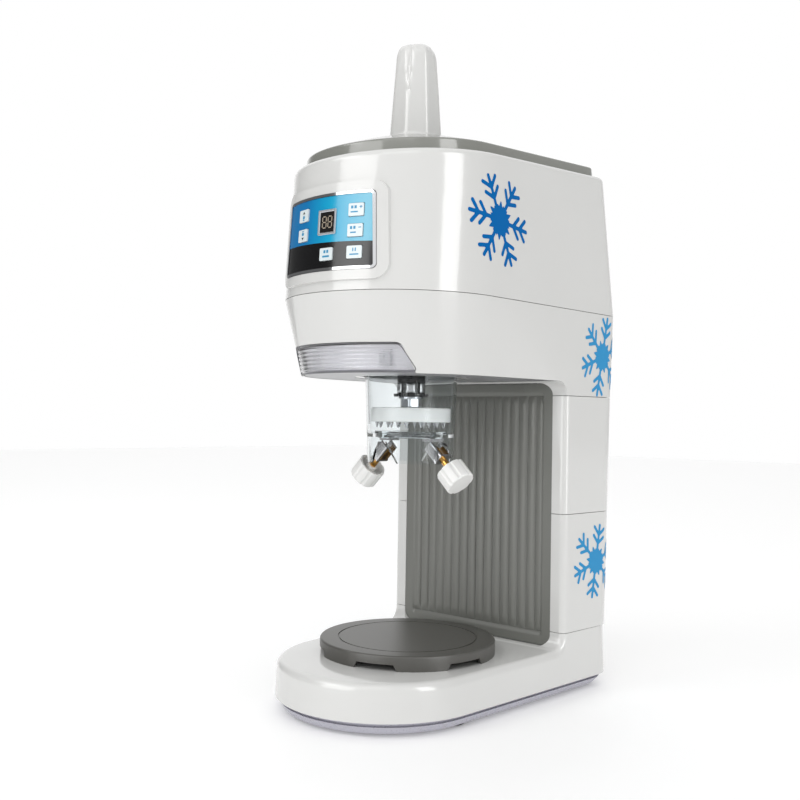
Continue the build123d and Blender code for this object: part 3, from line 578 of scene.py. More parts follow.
LEVELS: dict[float, Plan] = {
    0.013: Plan(0.0964, -0.0638, 0.1101, 0.1508),
    0.059: Plan(0.0925, -0.0638, 0.1094, 0.1518),
    0.169: Plan(0.0925, -0.0638, 0.1096, 0.1548),
    0.2795: Plan(0.0950, -0.0395, 0.1098, 0.1579),
    0.293: Plan(0.0955, -0.0400, 0.1100, 0.1583),
    0.3595: Plan(0.1045, -0.0492, 0.1110, 0.1603),
    0.4857: Plan(0.1035, -0.0425, 0.1075, 0.1435),
}
TOP_RISE = tan(radians(4.2))


def plan_at(height: float) -> Plan:
    """Plan of the casing at any height, straight between the listed levels."""
    low = max((z for z in LEVELS if z <= height), default=min(LEVELS))
    high = min((z for z in LEVELS if z >= height), default=max(LEVELS))
    if low == high:
        return LEVELS[low]
    return LEVELS[low].mixed(LEVELS[high], (height - low) / (high - low))


def on_nose(x: float, height: float, proud: float = 0.0) -> Point:
    """Point on the head's round front.

    Args:
        x: Distance from the middle.
        height: Height above the counter.
        proud: Distance in front of the surface.

    Returns:
        The point.
    """
    plan = plan_at(height)
    return (x, plan.nose_y - sqrt((plan.nose + proud) ** 2 - x * x), height)


def stack(rings: Sequence[Sequence[Point]], close_start: bool = False, close_end: bool = False) -> Mesh:
    """Skin a stack of rings that have equal counts.

    Args:
        rings: Closed rings of points, in order.
        close_start: Whether a face covers the first ring.
        close_end: Whether a face covers the last ring.

    Returns:
        Vertices and faces.
    """
    count = len(rings[0])
    points = [p for ring in rings for p in ring]
    faces: list[Sequence[int]] = []
    for level in range(len(rings) - 1):
        low, high = level * count, (level + 1) * count
        faces += [(low + k, low + (k + 1) % count, high + (k + 1) % count, high + k) for k in range(count)]
    if close_start:
        faces.append(list(range(count))[::-1])
    if close_end:
        faces.append([(len(rings) - 1) * count + k for k in range(count)])
    return points, faces


def lattice(columns: int, rows: int, place: Callable[[float, float], Point]) -> Mesh:
    """Grid of faces laid on a surface.

    Args:
        columns: Faces across.
        rows: Faces up.
        place: Gives the point at two shares from zero to one.

    Returns:
        Vertices and faces.
    """
    points = [place(i / columns, j / rows) for j in range(rows + 1) for i in range(columns + 1)]
    wide = columns + 1
    corners = [j * wide + i for j in range(rows) for i in range(columns)]
    return points, [(k, k + 1, k + wide + 1, k + wide) for k in corners]


def thicken(piece: bpy.types.Object, depth: float) -> None:
    """Give a sheet its thickness, behind its faces, and bake it into the mesh.

    Args:
        piece: The sheet.
        depth: Thickness.
    """
    solid = piece.modifiers.new("thickness", "SOLIDIFY")
    solid.thickness, solid.offset = depth, -1.0
    apply_modifiers(piece)


def apply_modifiers(piece: bpy.types.Object) -> None:
    """Replace a new piece's mesh by the result of its modifiers."""
    graph = bpy.context.evaluated_depsgraph_get()
    data = bpy.data.meshes.new_from_object(piece.evaluated_get(graph))
    piece.modifiers.clear()
    piece.data = data


def settle(
    piece: bpy.types.Object,
    finish: Finish,
    body: str,
    replaces: Sequence[str] = (),
    angle: float = 35.0,
) -> None:
    """Dress a new piece, shade it, and let it ride on its body.

    Args:
        piece: The new piece.
        finish: Its material.
        body: The body that carries it.
        replaces: Nodes that it stands for.
        angle: Edges turning by more than this many degrees stay sharp.
    """
    work = bmesh.new()
    work.from_mesh(piece.data)
    bmesh.ops.recalc_face_normals(work, faces=work.faces)
    work.to_mesh(piece.data)
    work.free()
    dress(piece, finish.build())
    piece.data.shade_smooth()
    piece.modifiers.new("sharp_edges", "EDGE_SPLIT").split_angle = radians(angle)
    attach(piece, body)
    if replaces:
        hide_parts(*replaces)
    LOG.info("%s: %s on %s", piece.name, finish.name, body)


def capsule(x: float, y: float, start: Flat, stop: Flat, radius: float) -> float:
    """Distance from a place to a round-ended bar.

    Args:
        x: The place, across.
        y: The place, up.
        start: One end of the bar's middle line.
        stop: The other end.
        radius: Half the bar's width.

    Returns:
        The distance, below zero inside the bar.
    """
    dx, dy = stop[0] - start[0], stop[1] - start[1]
    share = min(1.0, max(0.0, ((x - start[0]) * dx + (y - start[1]) * dy) / (dx * dx + dy * dy)))
    return hypot(x - start[0] - dx * share, y - start[1] - dy * share) - radius


def outer_skin(shells: Iterable[bpy.types.Object]) -> BVHTree:
    """Collect the outward faces of the casing's shells.

    Args:
        shells: The shells' objects.

    Returns:
        A search tree over the faces that look away from the machine's middle.
    """
    points: list[Vector] = []
    faces: list[list[int]] = []
    for shell in shells:
        first = len(points)
        points += [v.co.copy() for v in shell.data.vertices]
        for face in shell.data.polygons:
            out = Vector((face.center.x, face.center.y - 0.03, 0.0))
            if face.normal.dot(out.normalized()) > 0.15:
                faces.append([first + index for index in face.vertices])
    return BVHTree.FromPolygons(points, faces)


@dataclass(frozen=True)
class Facing:
    """Frame on a node's outward face: its middle, the way across, the way up and the way out."""

    middle: Vector
    across: Vector
    up: Vector
    out: Vector

    @classmethod
    def of(cls, node: bpy.types.Object) -> "Facing":
        """Find the outermost face that looks forwards.

        Args:
            node: A key's or a window's object.

        Returns:
            The frame in the middle of that face.
        """
        ahead = [f for f in node.data.polygons if f.normal.y < -0.5]
        out = sum((f.normal * f.area for f in ahead), Vector()).normalized()
        reach = max(f.center.dot(out) for f in ahead)
        top = [f for f in ahead if f.center.dot(out) > reach - 0.0002]
        middle = sum((f.center * f.area for f in top), Vector()) / sum(f.area for f in top)
        across = Vector((0, 0, 1)).cross(out).normalized()
        across = across if across.x > 0 else -across
        return cls(middle, across, out.cross(across).normalized(), out)

    def at(self, x: float, y: float, lift: float = 0.0) -> Point:
        """Point at a place on the face, in metres from its middle."""
        return tuple(self.middle + self.across * x + self.up * y + self.out * lift)


def plaque(
    name: str, face: Facing, shapes: Sequence[Sequence[Flat]], lift: float, depth: float
) -> bpy.types.Object:
    """Raise flat shapes off a face.

    Args:
        name: The piece's name.
        face: The frame that the shapes lie in.
        shapes: Closed outlines in millimetres.
        lift: Height of their tops off the face.
        depth: Their thickness.

    Returns:
        The new object, as closed prisms.
    """
    points: list[Point] = []
    faces: list[Sequence[int]] = []
    for shape in shapes:
        first, count = len(points), len(shape)
        points += [face.at(x * MM, y * MM, lift - depth) for x, y in shape]
        points += [face.at(x * MM, y * MM, lift) for x, y in shape]
        faces.append([first + k for k in range(count)][::-1])
        faces.append([first + count + k for k in range(count)])
        for k in range(count):
            low, after = first + k, first + (k + 1) % count
            faces.append((low, after, after + count, low + count))
    return mesh_object(name, (points, faces))


def bar(x: float, y: float, wide: float, high: float) -> list[Flat]:
    """Rectangle about a place, in millimetres."""
    corners = ((-1, -1), (1, -1), (1, 1), (-1, 1))
    return [(x + sx * wide / 2, y + sy * high / 2) for sx, sy in corners]


@dataclass
class Lid:
    """Grey lid that rises towards the back, with a rolled edge and a low cone up to the rod's bush."""

    seat: float = 0.4860
    edge: float = 0.4965
    crown: float = 0.5100
    inset: float = 0.0105
    edge_round: float = 0.0022
    plateau: float = 0.033
    hole: float = 0.0072
    axis_y: float = -0.0327

    def build(self) -> None:
        """Build the lid from rings that close in on the rod's hole."""
        plan = LEVELS[max(LEVELS)]
        rings = [[(x, y, self.seat + y * TOP_RISE) for x, y in plan.loop(self.inset)]]
        for step in range(6):
            turn = pi / 2 * step / 5
            inset = self.inset + 0.0008 + self.edge_round * (1 - cos(turn))
            height = self.edge - self.edge_round * (1 - sin(turn))
            rings.append([(x, y, height + y * TOP_RISE) for x, y in plan.loop(inset)])
        rim = rings[-1]
        rings += [[self.dome(point, 1 - step / 24) for point in rim] for step in range(1, 25)]
        rings.append([(x, y, z - 0.004) for x, y, z in rings[-1]])
        piece = mesh_object("lid_dome", stack(rings))
        settle(piece, GREY_ABS, "housing", ["top_lid"], 50)

    def dome(self, rim: Point, share: float) -> Point:
        """Point on the lid's top.

        Args:
            rim: Point on the rolled edge.
            share: One at the edge, zero at the rod's hole.

        Returns:
            The point.
        """
        x, y, edge = rim
        reach = hypot(x, y - self.axis_y)
        out = self.hole + (reach - self.hole) * share
        climb = min(1.0, (reach - out) / (reach - self.plateau))
        knee = 1 - (1 - climb) ** 1.12
        middle = self.axis_y + (y - self.axis_y) * out / reach
        return (x * out / reach, middle, edge + (self.crown - edge) * knee)


@dataclass
class LiftHandle:
    """White feed handle: an eight-sided taper with scalloped corners and a round head."""

    foot: float = 0.5107
    head: float = 0.6000
    foot_r: float = 0.0238
    head_r: float = 0.0176
    flange_r: float = 0.0262
    crown_round: float = 0.012
    axis_y: float = -0.0327
    around: int = 96

    def radius(self, angle: float, height: float) -> float:
        """Radius of the grip at an angle and height, with its flats and scallops."""
        rise = (height - self.foot) / (self.head - self.foot)
        flat = self.foot_r + (self.head_r - self.foot_r) * rise
        sector = (angle + pi / 8) % (pi / 4) - pi / 8
        facet = min(flat / cos(sector), flat * 1.055)
        scallop = max(0.05, 1.15 * (rise - 0.42))
        near_corner = max(0.0, 1 - abs(abs(sector) - pi / 8) / (pi / 8) / scallop)
        every_other = 0.5 + 0.5 * cos(4 * (angle - pi / 8))
        facet -= 0.0026 * near_corner**0.8 * every_other * min(1.0, max(0.0, (rise - 0.4) * 3))
        drop = self.head - height
        if drop < self.crown_round:
            facet -= self.crown_round * 0.62 * (1 - sqrt(max(0.0, 1 - (1 - drop / self.crown_round) ** 2)))
        return facet

    def build(self) -> None:
        """Build the flange, grip and head as one moulding."""
        angles = [tau * k / self.around for k in range(self.around)]
        rings = [self.ring([self.flange_r] * self.around, angles, self.foot + h) for h in (0.0, 0.0012)]
        for step in range(6):
            turn = pi / 2 * step / 5
            gap = [self.flange_r - 0.0005 - self.radius(a, self.foot + 0.006) for a in angles]
            out = [self.flange_r - 0.0005 - g * sin(turn) for g in gap]
            rings.append(self.ring(out, angles, self.foot + 0.0018 + 0.0042 * (1 - cos(turn))))
        low = self.foot + 0.007
        tall = self.head - self.crown_round - self.foot - 0.007
        heights = [low + tall * k / 30 for k in range(31)]
        heights += [self.head - self.crown_round * cos(pi / 2 * k / 10) for k in range(1, 11)]
        rings += [self.ring([self.radius(a, z) for a in angles], angles, z) for z in heights]
        piece = mesh_object("lift_grip", stack(rings, True, True))
        settle(piece, WHITE_ABS, "feed_carriage", ["lift_handle"], 40)

    def ring(self, radii: Sequence[float], angles: Sequence[float], height: float) -> list[Point]:
        """Ring of points at the given radii."""
        return [(r * cos(a), self.axis_y + r * sin(a), height) for r, a in zip(radii, angles)]


@dataclass
class SplashPanel:
    """Grey panel with a smooth border and upright rounded ribs."""

    front: float = 0.0680
    half: float = 0.089
    low: float = 0.045
    high: float = 0.291
    corner: float = 0.011
    border: float = 0.0095
    pitch: float = 0.0100
    depth: float = 0.0026

    def build(self) -> None:
        """Build the panel as a fine height field with a rounded outline."""
        columns, rows = 340, 64
        mesh = lattice(columns, rows, self.place)
        piece = mesh_object("ribbed_panel", mesh)
        thicken(piece, 0.003)
        settle(piece, PANEL_GREY, "housing", ["splash_panel"], 50)

    def place(self, across: float, up: float) -> Point:
        """Point of the panel's face at two shares of its width and height."""
        rise = 0.5 - 0.5 * cos(pi * up) if 0.0 < up < 1.0 else up
        height = self.low + (self.high - self.low) * rise
        gap = min(height - self.low, self.high - height)
        half = self.half
        if gap < self.corner:
            half -= self.corner - sqrt(max(0.0, self.corner**2 - (self.corner - gap) ** 2))
        x = half * (2 * across - 1)
        inner = min(self.half - abs(x), gap) - self.border
        well = min(1.0, max(0.0, inner / 0.002))
        rib = abs(sin(pi * x / self.pitch)) ** 0.55
        ends = min(1.0, max(0.0, (gap - self.border - 0.003) / 0.004))
        return (x, self.front + well * self.depth * (1 - 0.82 * rib * ends), height)


@dataclass
class LightLens:
    """Smoky window with level ribs at the foot of the head, and the white tray behind it."""

    low: float = 0.2935
    high: float = 0.3174
    high_half: float = 0.0617
    low_half: float = 0.0702
    corner: float = 0.005
    ribs: int = 6
    rib_depth: float = 0.0009
    sunk: float = 0.0012
    gasket: float = 0.0007

    def half_at(self, height: float) -> float:
        """Half width at a height, with sloping ends and rounded corners."""
        rise = (height - self.low) / (self.high - self.low)
        half = self.low_half + (self.high_half - self.low_half) * rise
        gap = min(height - self.low, self.high - height)
        if gap < self.corner:
            half -= self.corner - sqrt(max(0.0, self.corner**2 - (self.corner - gap) ** 2))
        return half

    def border(self, draw_in: float) -> list[Point]:
        """Closed line round the lens, a little inside its edge.

        Args:
            draw_in: Distance inside the edge.

        Returns:
            Points on the nose, in metres.
        """
        low, high = self.low + draw_in, self.high - draw_in
        heights = [low + (high - low) * k / 24 for k in range(25)]
        right = [(self.half_at(height) - draw_in, height) for height in heights]
        left = [(-across, height) for across, height in reversed(right)]
        top, foot = right[-1][0], right[0][0]
        loop = right + [(top * (1 - k / 30), high) for k in range(1, 60)] + left
        loop += [(foot * (k / 30 - 1), low) for k in range(1, 60)]
        return [on_nose(across, height, 0.0001) for across, height in loop]

    def face(self, across: float, up: float) -> Point:
        """Point of the lens's ribbed face at two shares of its width and height."""
        height = self.low + (self.high - self.low) * up
        gap = min(1.0, max(0.0, (min(up, 1 - up) - 0.07) / 0.03))
        edge = min(1.0, max(0.0, (min(across, 1 - across) - 0.03) / 0.01))
        rib = self.rib_depth * abs(sin(pi * self.ribs * (up - 0.08) / 0.84)) * gap * edge
        return on_nose(self.half_at(height) * (2 * across - 1), height, rib - self.sunk)

    def back(self, across: float, up: float) -> Point:
        """Point of the tray, which folds back from its rim, at two shares of its width and height."""
        height = self.low + 0.001 + (self.high - self.low - 0.002) * up
        fold = 0.006 + 0.010 * min(1.0, 6 * min(across, 1 - across), 4 * min(up, 1 - up))
        return on_nose((self.low_half - 0.004) * (2 * across - 1), height, -fold)

    def build(self) -> None:
        """Build the lens, its gasket and the reflector tray."""
        lens = mesh_object("ribbed_lens", lattice(120, 72, self.face))
        thicken(lens, 0.0012)
        settle(lens, SMOKE_PC, "housing", ["light_lens"], 60)

        gasket = mesh_object("lens_gasket", stack([self.border(0.0), self.border(self.gasket)]))
        thicken(gasket, 0.0008)
        settle(gasket, GASKET, "housing", (), 60)

        tray = mesh_object("lamp_tray", lattice(60, 24, self.back))
        settle(tray, TRAY, "housing", (), 30)


@dataclass
class Coupler:
    """Bright springs let into the black coupler, and the flanged nut under it."""

    middle_y: float = -0.0327
    radius: float = 0.0131
    low: float = 0.2795
    high: float = 0.2885
    count: int = 6
    sweep: float = 36.0
    nut_low: float = 0.2660
    nut_high: float = 0.2760
    bore: float = 0.0062
    half_flats: float = 0.0084
    flange: float = 0.0114

    def build(self) -> None:
        """Build the springs and the nut."""
        for index in range(self.count):
            leaf = lattice(12, 8, partial(self.spring, index))
            settle(mesh_object(f"coupler_spring_{index}", leaf), STAINLESS, "spindle")
        settle(mesh_object("flanged_nut", self.nut()), CHROME_SATIN, "spindle", ["spindle_nut"], 25)

    def spring(self, index: int, across: float, up: float) -> Point:
        """Point on one spring's crowned face.

        Args:
            index: The spring's number.
            across: Share of its width.
            up: Share of its height.

        Returns:
            The point, in metres.
        """
        angle = radians(index * 360 / self.count + 8 + self.sweep * (across - 0.5))
        out = self.radius + 0.0005 * (1 - (2 * across - 1) ** 6) * (1 - (2 * up - 1) ** 6)
        return (out * cos(angle), self.middle_y + out * sin(angle), self.low + (self.high - self.low) * up)

    def nut(self) -> Mesh:
        """Hexagon with broken corners under a round flange, bored for the spindle."""
        foot, neck = self.nut_low, self.nut_high - 0.0022
        profile = [
            (self.bore, foot, False),
            (self.half_flats - 0.0006, foot, True),
            (self.half_flats, foot + 0.0008, True),
            (self.half_flats, neck, True),
            (self.flange, neck + 0.0004, False),
            (self.flange, self.nut_high - 0.0005, False),
            (self.flange - 0.0005, self.nut_high, False),
            (self.bore, self.nut_high, False),
        ]
        rings = [[self.rim(out, height, hexagon, k) for k in range(72)] for out, height, hexagon in profile]
        return stack([*rings, rings[0]])

    def rim(self, out: float, height: float, hexagon: bool, step: int) -> Point:
        """Point on a round or six-sided ring.

        Args:
            out: Radius, or half the distance across the flats.
            height: Its height.
            hexagon: Whether the ring has six sides.
            step: The point's number out of seventy-two.

        Returns:
            The point, in metres.
        """
        turn = radians(step * 5)
        reach = min(out / cos((turn % (pi / 3)) - pi / 6), out * 1.12) if hexagon else out
        return (reach * cos(turn), self.middle_y + reach * sin(turn), height)


@dataclass(frozen=True)
class Flake:
    """One snowflake: its middle on the flank, how far its arms reach along and up, and its film."""

    middle_y: float
    middle_z: float
    along: tuple[float, float]
    upward: tuple[float, float]
    finish: Finish


@dataclass
class Snowflakes:
    """Six-armed vinyl snowflakes on both flanks, cut as thin film that follows the casing."""

    proud: float = 0.00015
    cell: float = 0.022
    stem: float = 0.044
    branch: float = 0.043
    hub: float = 0.29
    tooth: float = 0.43
    shells: Sequence[str] = (
        "head_upper_shell",
        "head_lower_shell",
        "column_upper_shell",
        "column_lower_shell",
    )
    flakes: Sequence[Flake] = (
        Flake(-0.0426, 0.4247, (0.0350, 0.0160), (-0.0168, 0.0370), DECAL_DEEP),
        Flake(0.1231, 0.3186, (0.0345, -0.0075), (0.0078, 0.0385), DECAL_PALE),
        Flake(0.1171, 0.1220, (0.0365, -0.0070), (0.0060, 0.0350), DECAL_PALE),
    )

    def build(self, nodes: dict[str, bpy.types.Object]) -> None:
        """Cut and lay every snowflake.

        Args:
            nodes: The frame's objects by node name.
        """
        skin = outer_skin([nodes[name] for name in self.shells])
        points, faces = self.cut()
        for side, flank in ((1, "right"), (-1, "left")):
            for index, flake in enumerate(self.flakes):
                (ax, az), (bx, bz) = flake.along, flake.upward
                flat = [(ax * u + bx * v, az * u + bz * v) for u, v in points]
                laid = [self.lay(skin, side, (flake.middle_y, flake.middle_z), y, z) for y, z in flat]
                piece = mesh_object(f"snowflake_{flank}_{index}", (laid, faces))
                settle(piece, flake.finish, "housing")

    def gap(self, u: float, v: float) -> float:
        """Distance from a place to the cut edge, in arm lengths, below zero inside the film."""
        out, turn = hypot(u, v), atan2(v, u)
        sector = (turn - pi / 2 + pi / 6) % (pi / 3) - pi / 6
        x, y = out * cos(sector), abs(out * sin(sector))
        best = capsule(x, y, (0.0, 0.0), (0.965, 0.0), self.stem)
        for start in (0.48, 0.71):
            best = min(best, capsule(x, y, (start, 0.0), (start + 0.19, 0.22), self.branch))
        spread = abs(sector) / (pi / 6)
        point = max(0.0, (spread - 0.62) / 0.38, 0.5 - abs(spread - 0.42) / 0.36)
        return min(best, (out - self.hub - (self.tooth - self.hub) * point) * 0.7)

    def cut(self) -> tuple[list[Flat], list[Sequence[int]]]:
        """Cut the film's outline through a fine grid.

        Returns:
            Flat points in arm lengths, and faces that can bend.
        """
        count = ceil(1.02 / self.cell)
        span = range(-count, count + 1)
        level = {(i, j): self.gap(i * self.cell, j * self.cell) for i in span for j in span}
        points: list[Flat] = []
        known: dict[tuple[tuple[int, int], ...], int] = {}
        faces: list[Sequence[int]] = []

        def corner(*ends: tuple[int, int]) -> int:
            """Number of the point at a grid corner, or where the cut crosses a grid edge."""
            key = tuple(sorted(ends))
            if key not in known:
                (i, j), (m, n) = key[0], key[-1]
                share = level[key[0]] / (level[key[0]] - level[key[-1]]) if len(key) == 2 else 0.0
                known[key] = len(points)
                points.append(((i + (m - i) * share) * self.cell, (j + (n - j) * share) * self.cell))
            return known[key]

        for i in range(-count, count):
            for j in range(-count, count):
                ring = [(i, j), (i + 1, j), (i + 1, j + 1), (i, j + 1)]
                face: list[int] = []
                for here, there in zip(ring, ring[1:] + ring[:1]):
                    if level[here] < 0:
                        face.append(corner(here))
                    if (level[here] < 0) != (level[there] < 0):
                        face.append(corner(here, there))
                if len(face) > 2:
                    faces.append(face)
        return points, faces

    def lay(self, skin: BVHTree, side: int, centre: tuple[float, float], along: float, up: float) -> Point:
        """Wrap a flat point round the casing's flank.

        Args:
            skin: The casing's outer faces.
            side: One for the right flank, minus one for the left.
            centre: Where the mark's middle lies: distance back, and height.
            along: Distance from the middle towards the back.
            up: Distance above the middle.

        Returns:
            The point just off the casing.
        """
        height = centre[1] + up
        outline = plan_at(height).loop(-0.004)
        right = sorted((p for p in outline if p[0] > 0.0), key=lambda p: atan2(p[1], p[0]))
        spans = [(p, q, hypot(q[0] - p[0], q[1] - p[1])) for p, q in zip(right, right[1:])]
        walked, here = 0.0, 0.0
        starts = []
        for p, q, length in spans:
            starts.append(walked)
            if p[1] <= centre[0] < q[1] and p[0] > 0.08:
                here = walked + length * (centre[0] - p[1]) / (q[1] - p[1])
            walked += length
        want = min(max(here + along, 0.0), walked - 1e-6)
        index = max(k for k, start in enumerate(starts) if start <= want)
        p, q, length = spans[index]
        share = (want - starts[index]) / length
        rough = Vector((side * (p[0] + (q[0] - p[0]) * share), p[1] + (q[1] - p[1]) * share, height))
        found, normal, _, _ = skin.find_nearest(rough)
        return tuple(found + normal * self.proud)


class Icon(Enum):
    """Generic pictures on the keys, drawn in blue with one black mark where it has one."""

    RAISE = "arrow up over a drop"
    LOWER = "drop over an arrow down"
    TIMER = "two blocks over a wide line"
    LAMP = "two blocks over a short line"
    RUN = "two blocks over a line"
    HOLD = "two upright bars over a line"


@dataclass
class KeyPrints:
    """Printed icons on the six keys, each riding on its own key."""

    film: float = 0.00012
    icons: dict[str, Icon] = field(
        default_factory=lambda: {
            "key_up": Icon.RAISE,
            "key_down": Icon.LOWER,
            "key_timer": Icon.TIMER,
            "key_lamp": Icon.LAMP,
            "key_auto": Icon.RUN,
            "key_pause": Icon.HOLD,
        }
    )

    def build(self, nodes: dict[str, bpy.types.Object]) -> None:
        """Print every key.

        Args:
            nodes: The frame's objects by node name.
        """
        for key, icon in self.icons.items():
            face = Facing.of(nodes[key])
            blue, black = self.shapes(icon)
            settle(plaque(f"{key}_print", face, blue, self.film, self.film * 2), ICON_BLUE, key)
            if black:
                settle(plaque(f"{key}_arrow", face, black, self.film, self.film * 2), ICON_BLACK, key)

    def shapes(self, icon: Icon) -> tuple[list[list[Flat]], list[list[Flat]]]:
        """Outlines of an icon.

        Args:
            icon: Which icon.

        Returns:
            The blue outlines and the black ones, in millimetres.
        """
        if icon in (Icon.RAISE, Icon.LOWER):
            flip = 1 if icon is Icon.RAISE else -1
            arrow = [(-1.7, 1.6 * flip), (1.7, 1.6 * flip), (0.0, 3.6 * flip)][::flip]
            ring = [(1.5 * cos(a), 1.5 * sin(a) - 1.4 * flip) for a in (tau * k / 16 for k in range(16))]
            return [ring, bar(0.0, -3.7 * flip, 2.2, 0.7)], [arrow]
        blocks = [bar(-1.5, 2.1, 2.0, 2.4), bar(1.5, 2.1, 2.0, 2.4)]
        if icon is Icon.HOLD:
            return [bar(-1.1, 2.0, 1.0, 2.8), bar(1.1, 2.0, 1.0, 2.8), bar(0.0, -1.9, 8.0, 1.1)], []
        wide = {Icon.TIMER: 6.4, Icon.LAMP: 5.0, Icon.RUN: 7.0}[icon]
        if icon is Icon.RUN:
            return [*blocks, bar(0.0, -1.9, wide, 1.5)], []
        blocks = [[(x - 2.0, y) for x, y in block] for block in blocks]
        plus = [bar(4.3, 2.1, 2.4, 0.7)]
        if icon is Icon.TIMER:
            plus.append(bar(4.3, 2.1, 0.7, 2.4))
        return [*blocks, *plus, bar(-1.6, -1.9, wide, 1.1)], []


@dataclass
class Display:
    """Two seven-bar figures behind a dark filter in a bright frame."""

    half_wide: float = 9.6
    half_high: float = 10.6
    strip: float = 2.0
    figure_wide: float = 4.0
    figure_high: float = 9.4
    stroke: float = 0.9
    joint: float = 1.1

    def build(self, node: bpy.types.Object) -> None:
        """Frame the window and lay the figures on it.

        Args:
            node: The window's object.
        """
        face = Facing.of(node)
        settle(self.frame(face), CHROME_SATIN, "housing", (), 30)
        bars = [shape for x in (-3.0, 3.0) for shape in self.figure(x)]
        settle(plaque("display_figures", face, bars, 0.00008, 0.0002), SEGMENT, "housing")

    def frame(self, face: Facing) -> bpy.types.Object:
        """Bevelled frame round the window.

        Args:
            face: The frame on the window's face.

        Returns:
            The new object.
        """
        profile = [
            (0.0, -0.0006),
            (0.0, 0.0004),
            (0.3, 0.0008),
            (self.strip - 0.5, 0.0008),
            (self.strip, 0.0002),
            (self.strip, -0.0006),
        ]
        rings = []
        for draw_in, lift in profile:
            wide, high = self.half_wide - draw_in, self.half_high - draw_in
            line = self.rounded(wide, high, max(0.2, 1.2 - draw_in))
            rings.append([face.at(x * MM, y * MM, lift) for x, y in line])
        return mesh_object("display_frame", stack([*rings, rings[0]]))

    def rounded(self, half_wide: float, half_high: float, radius: float) -> list[Flat]:
        """Rounded rectangle as points, in millimetres."""
        out: list[Flat] = []
        for k, (sx, sy) in enumerate(((1, 1), (-1, 1), (-1, -1), (1, -1))):
            centre = (sx * (half_wide - radius), sy * (half_high - radius))
            out += arc(centre, radius, k * pi / 2, (k + 1) * pi / 2, 5)
        return out

    def figure(self, x: float) -> list[list[Flat]]:
        """Seven bars of one figure.

        Args:
            x: Its middle, in millimetres.

        Returns:
            The bars' outlines.
        """
        half, quarter = self.figure_wide / 2, self.figure_high / 4
        long, tall = self.figure_wide - self.joint, 2 * quarter - self.joint
        level = [bar(x, y, long, self.stroke) for y in (-2 * quarter, 0.0, 2 * quarter)]
        sides = [(x + sx * half, sy * quarter) for sx in (-1, 1) for sy in (-1, 1)]
        return level + [bar(across, up, self.stroke, tall) for across, up in sides]


@dataclass
class Camera:
    """Camera ahead of the machine and to its right, below half its height, looking a little up."""

    place: Point = (0.5803, -0.7146, 0.2547)
    azimuth: float = 41.05
    lift: float = 1.165
    roll: float = 0.9
    lens: float = 43.73

    def build(self) -> None:
        """Create the camera and make it the scene's own."""
        data = bpy.data.cameras.new("camera")
        data.lens = self.lens
        data.sensor_width = 36.0
        camera = bpy.data.objects.new("camera", data)
        bpy.context.scene.collection.objects.link(camera)
        turn = Matrix.Rotation(radians(self.azimuth), 4, "Z")
        tip = Matrix.Rotation(radians(90 + self.lift), 4, "X")
        roll = Matrix.Rotation(radians(self.roll), 4, "Z")
        camera.matrix_world = Matrix.Translation(self.place) @ turn @ tip @ roll
        bpy.context.scene.camera = camera


@dataclass(frozen=True)
class SoftBox:
    """One soft box: its bearing and height from the machine, its size and its brightness."""

    bearing: float
    distance: float
    height: float
    wide: float
    tall: float
    power: float
    gloss_only: bool = False
    aim_z: float = 0.3


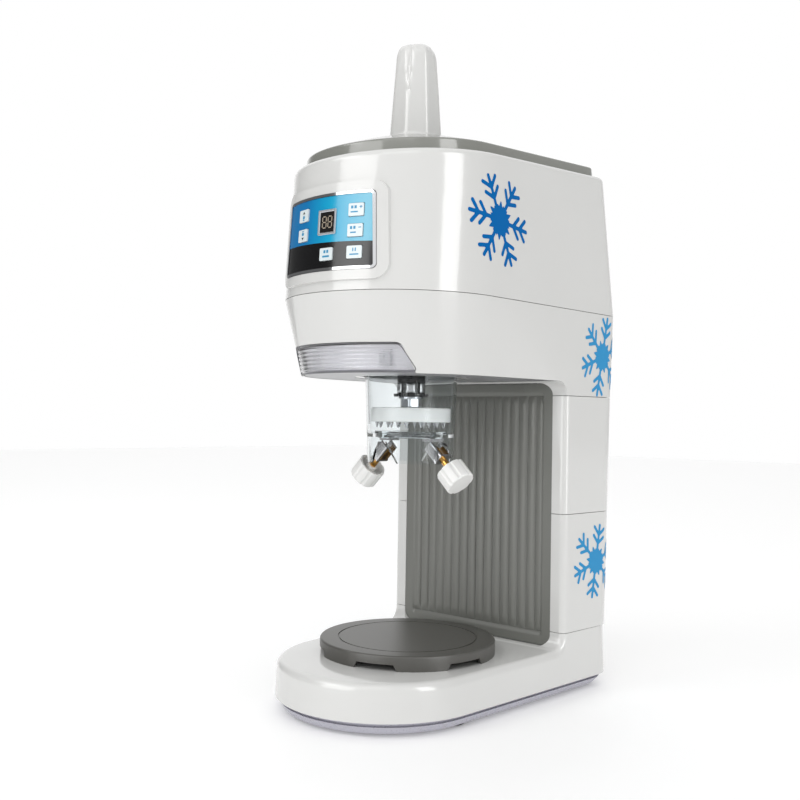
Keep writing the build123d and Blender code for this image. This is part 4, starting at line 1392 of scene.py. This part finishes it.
@dataclass
class Studio:
    """Pale floor, white surround that casts less light from two sides, and soft boxes."""

    floor_half: float = 6.0
    dim_bearing: float = 48.0
    dim_level: float = 0.55
    bright_level: float = 1.0
    flag_bearing: float = -155.0
    flag_level: float = 0.15
    boxes: Sequence[SoftBox] = (
        SoftBox(-6.0, 1.7, 0.75, 0.55, 1.7, 14.0, True),
        SoftBox(-98.0, 2.0, 0.85, 1.3, 1.8, 20.0, True),
        SoftBox(-118.0, 2.4, 2.3, 1.4, 1.0, 12.0),
        SoftBox(-60.0, 2.2, 2.6, 1.6, 1.6, 8.0),
    )

    def build(self) -> None:
        """Create the floor, the surround and the lights."""
        self.surround()
        half = self.floor_half
        corners = [(-half, -half, 0), (half, -half, 0), (half, half, 0), (-half, half, 0)]
        floor = mesh_object("floor", (corners, [(0, 1, 2, 3)]))
        dress(floor, FLOOR.build())
        for index, box in enumerate(self.boxes):
            self.lamp(index, box)
        bpy.context.scene.view_settings.view_transform = "Standard"

    def surround(self) -> None:
        """White surround, plain to look at, that lights and reflects less from two bearings."""
        world = bpy.data.worlds.new("surround")
        bpy.context.scene.world = world
        world.use_nodes = True
        tree = world.node_tree
        back = tree.nodes["Background"]
        back.inputs["Color"].default_value = linear("#FFFFFF")
        place = add_node(tree, "ShaderNodeTexCoord")
        full = self.bright_level
        side = self.fall(tree, place, self.dim_bearing, 0.1, (0.35, 0.9), (full, self.dim_level))
        flag = self.fall(tree, place, self.flag_bearing, 0.0, (0.55, 0.85), (1.0, self.flag_level))
        both = add_node(tree, "ShaderNodeMath", links={0: side, 1: flag}, operation="MULTIPLY")
        path = add_node(tree, "ShaderNodeLightPath")
        seen = add_node(
            tree,
            "ShaderNodeMix",
            values={3: self.bright_level},
            links={0: path.outputs["Is Camera Ray"], 2: both.outputs["Value"]},
            data_type="FLOAT",
        )
        tree.links.new(seen.outputs[0], back.inputs["Strength"])

    def fall(
        self,
        tree: bpy.types.NodeTree,
        place: bpy.types.Node,
        bearing: float,
        rise: float,
        reach: Flat,
        levels: Flat,
    ) -> bpy.types.NodeSocket:
        """Level that falls off smoothly towards one bearing.

        Args:
            tree: The surround's node tree.
            place: Its texture coordinate node.
            bearing: The bearing in degrees, anticlockwise from the machine's right.
            rise: How far the direction points up, per unit along.
            reach: Where along the direction the fall starts and ends.
            levels: The level before the fall and after it.

        Returns:
            The level's socket.
        """
        turn = radians(bearing)
        towards = add_node(
            tree,
            "ShaderNodeVectorMath",
            values={1: (cos(turn), sin(turn), rise)},
            links={0: place.outputs["Generated"]},
            operation="DOT_PRODUCT",
        )
        ends = {"From Min": reach[0], "From Max": reach[1], "To Min": levels[0], "To Max": levels[1]}
        level = add_node(
            tree,
            "ShaderNodeMapRange",
            values=ends,
            links={"Value": towards.outputs["Value"]},
            interpolation_type="SMOOTHSTEP",
        )
        return level.outputs["Result"]

    def lamp(self, index: int, box: SoftBox) -> None:
        """Create one soft box.

        Args:
            index: Its number.
            box: Its place, size and power.
        """
        light = bpy.data.lights.new(f"soft_box_{index}", "AREA")
        light.shape = "RECTANGLE"
        light.size, light.size_y, light.energy = box.wide, box.tall, box.power
        lamp = bpy.data.objects.new(light.name, light)
        bpy.context.scene.collection.objects.link(lamp)
        turn = radians(box.bearing)
        place = Vector((box.distance * cos(turn), box.distance * sin(turn), box.height))
        aim = (Vector((0, 0, box.aim_z)) - place).to_track_quat("-Z", "Y")
        lamp.matrix_world = Matrix.Translation(place) @ aim.to_matrix().to_4x4()
        lamp.visible_diffuse = not box.gloss_only


def dress_nodes(nodes: dict[str, bpy.types.Object]) -> None:
    """Dress every carried-over node.

    Args:
        nodes: The frame's objects by node name.
    """
    for finish, names in NODE_FINISHES.items():
        for name in names:
            dress(nodes[name], finish.build())
            soften(nodes[name])
            LOG.info("%s: %s", name, finish.name)


def main() -> None:
    """Build the machine's looks on its frame."""
    logging.basicConfig(level=logging.INFO, format="%(message)s")
    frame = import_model()
    nodes = frame["nodes"]
    dress_nodes(nodes)
    Lid().build()
    LiftHandle().build()
    SplashPanel().build()
    LightLens().build()
    Coupler().build()
    KeyPrints().build(nodes)
    Display().build(nodes["display_window"])
    Snowflakes().build(nodes)
    Studio().build()
    Camera().build()


if __name__ == "__main__":
    main()
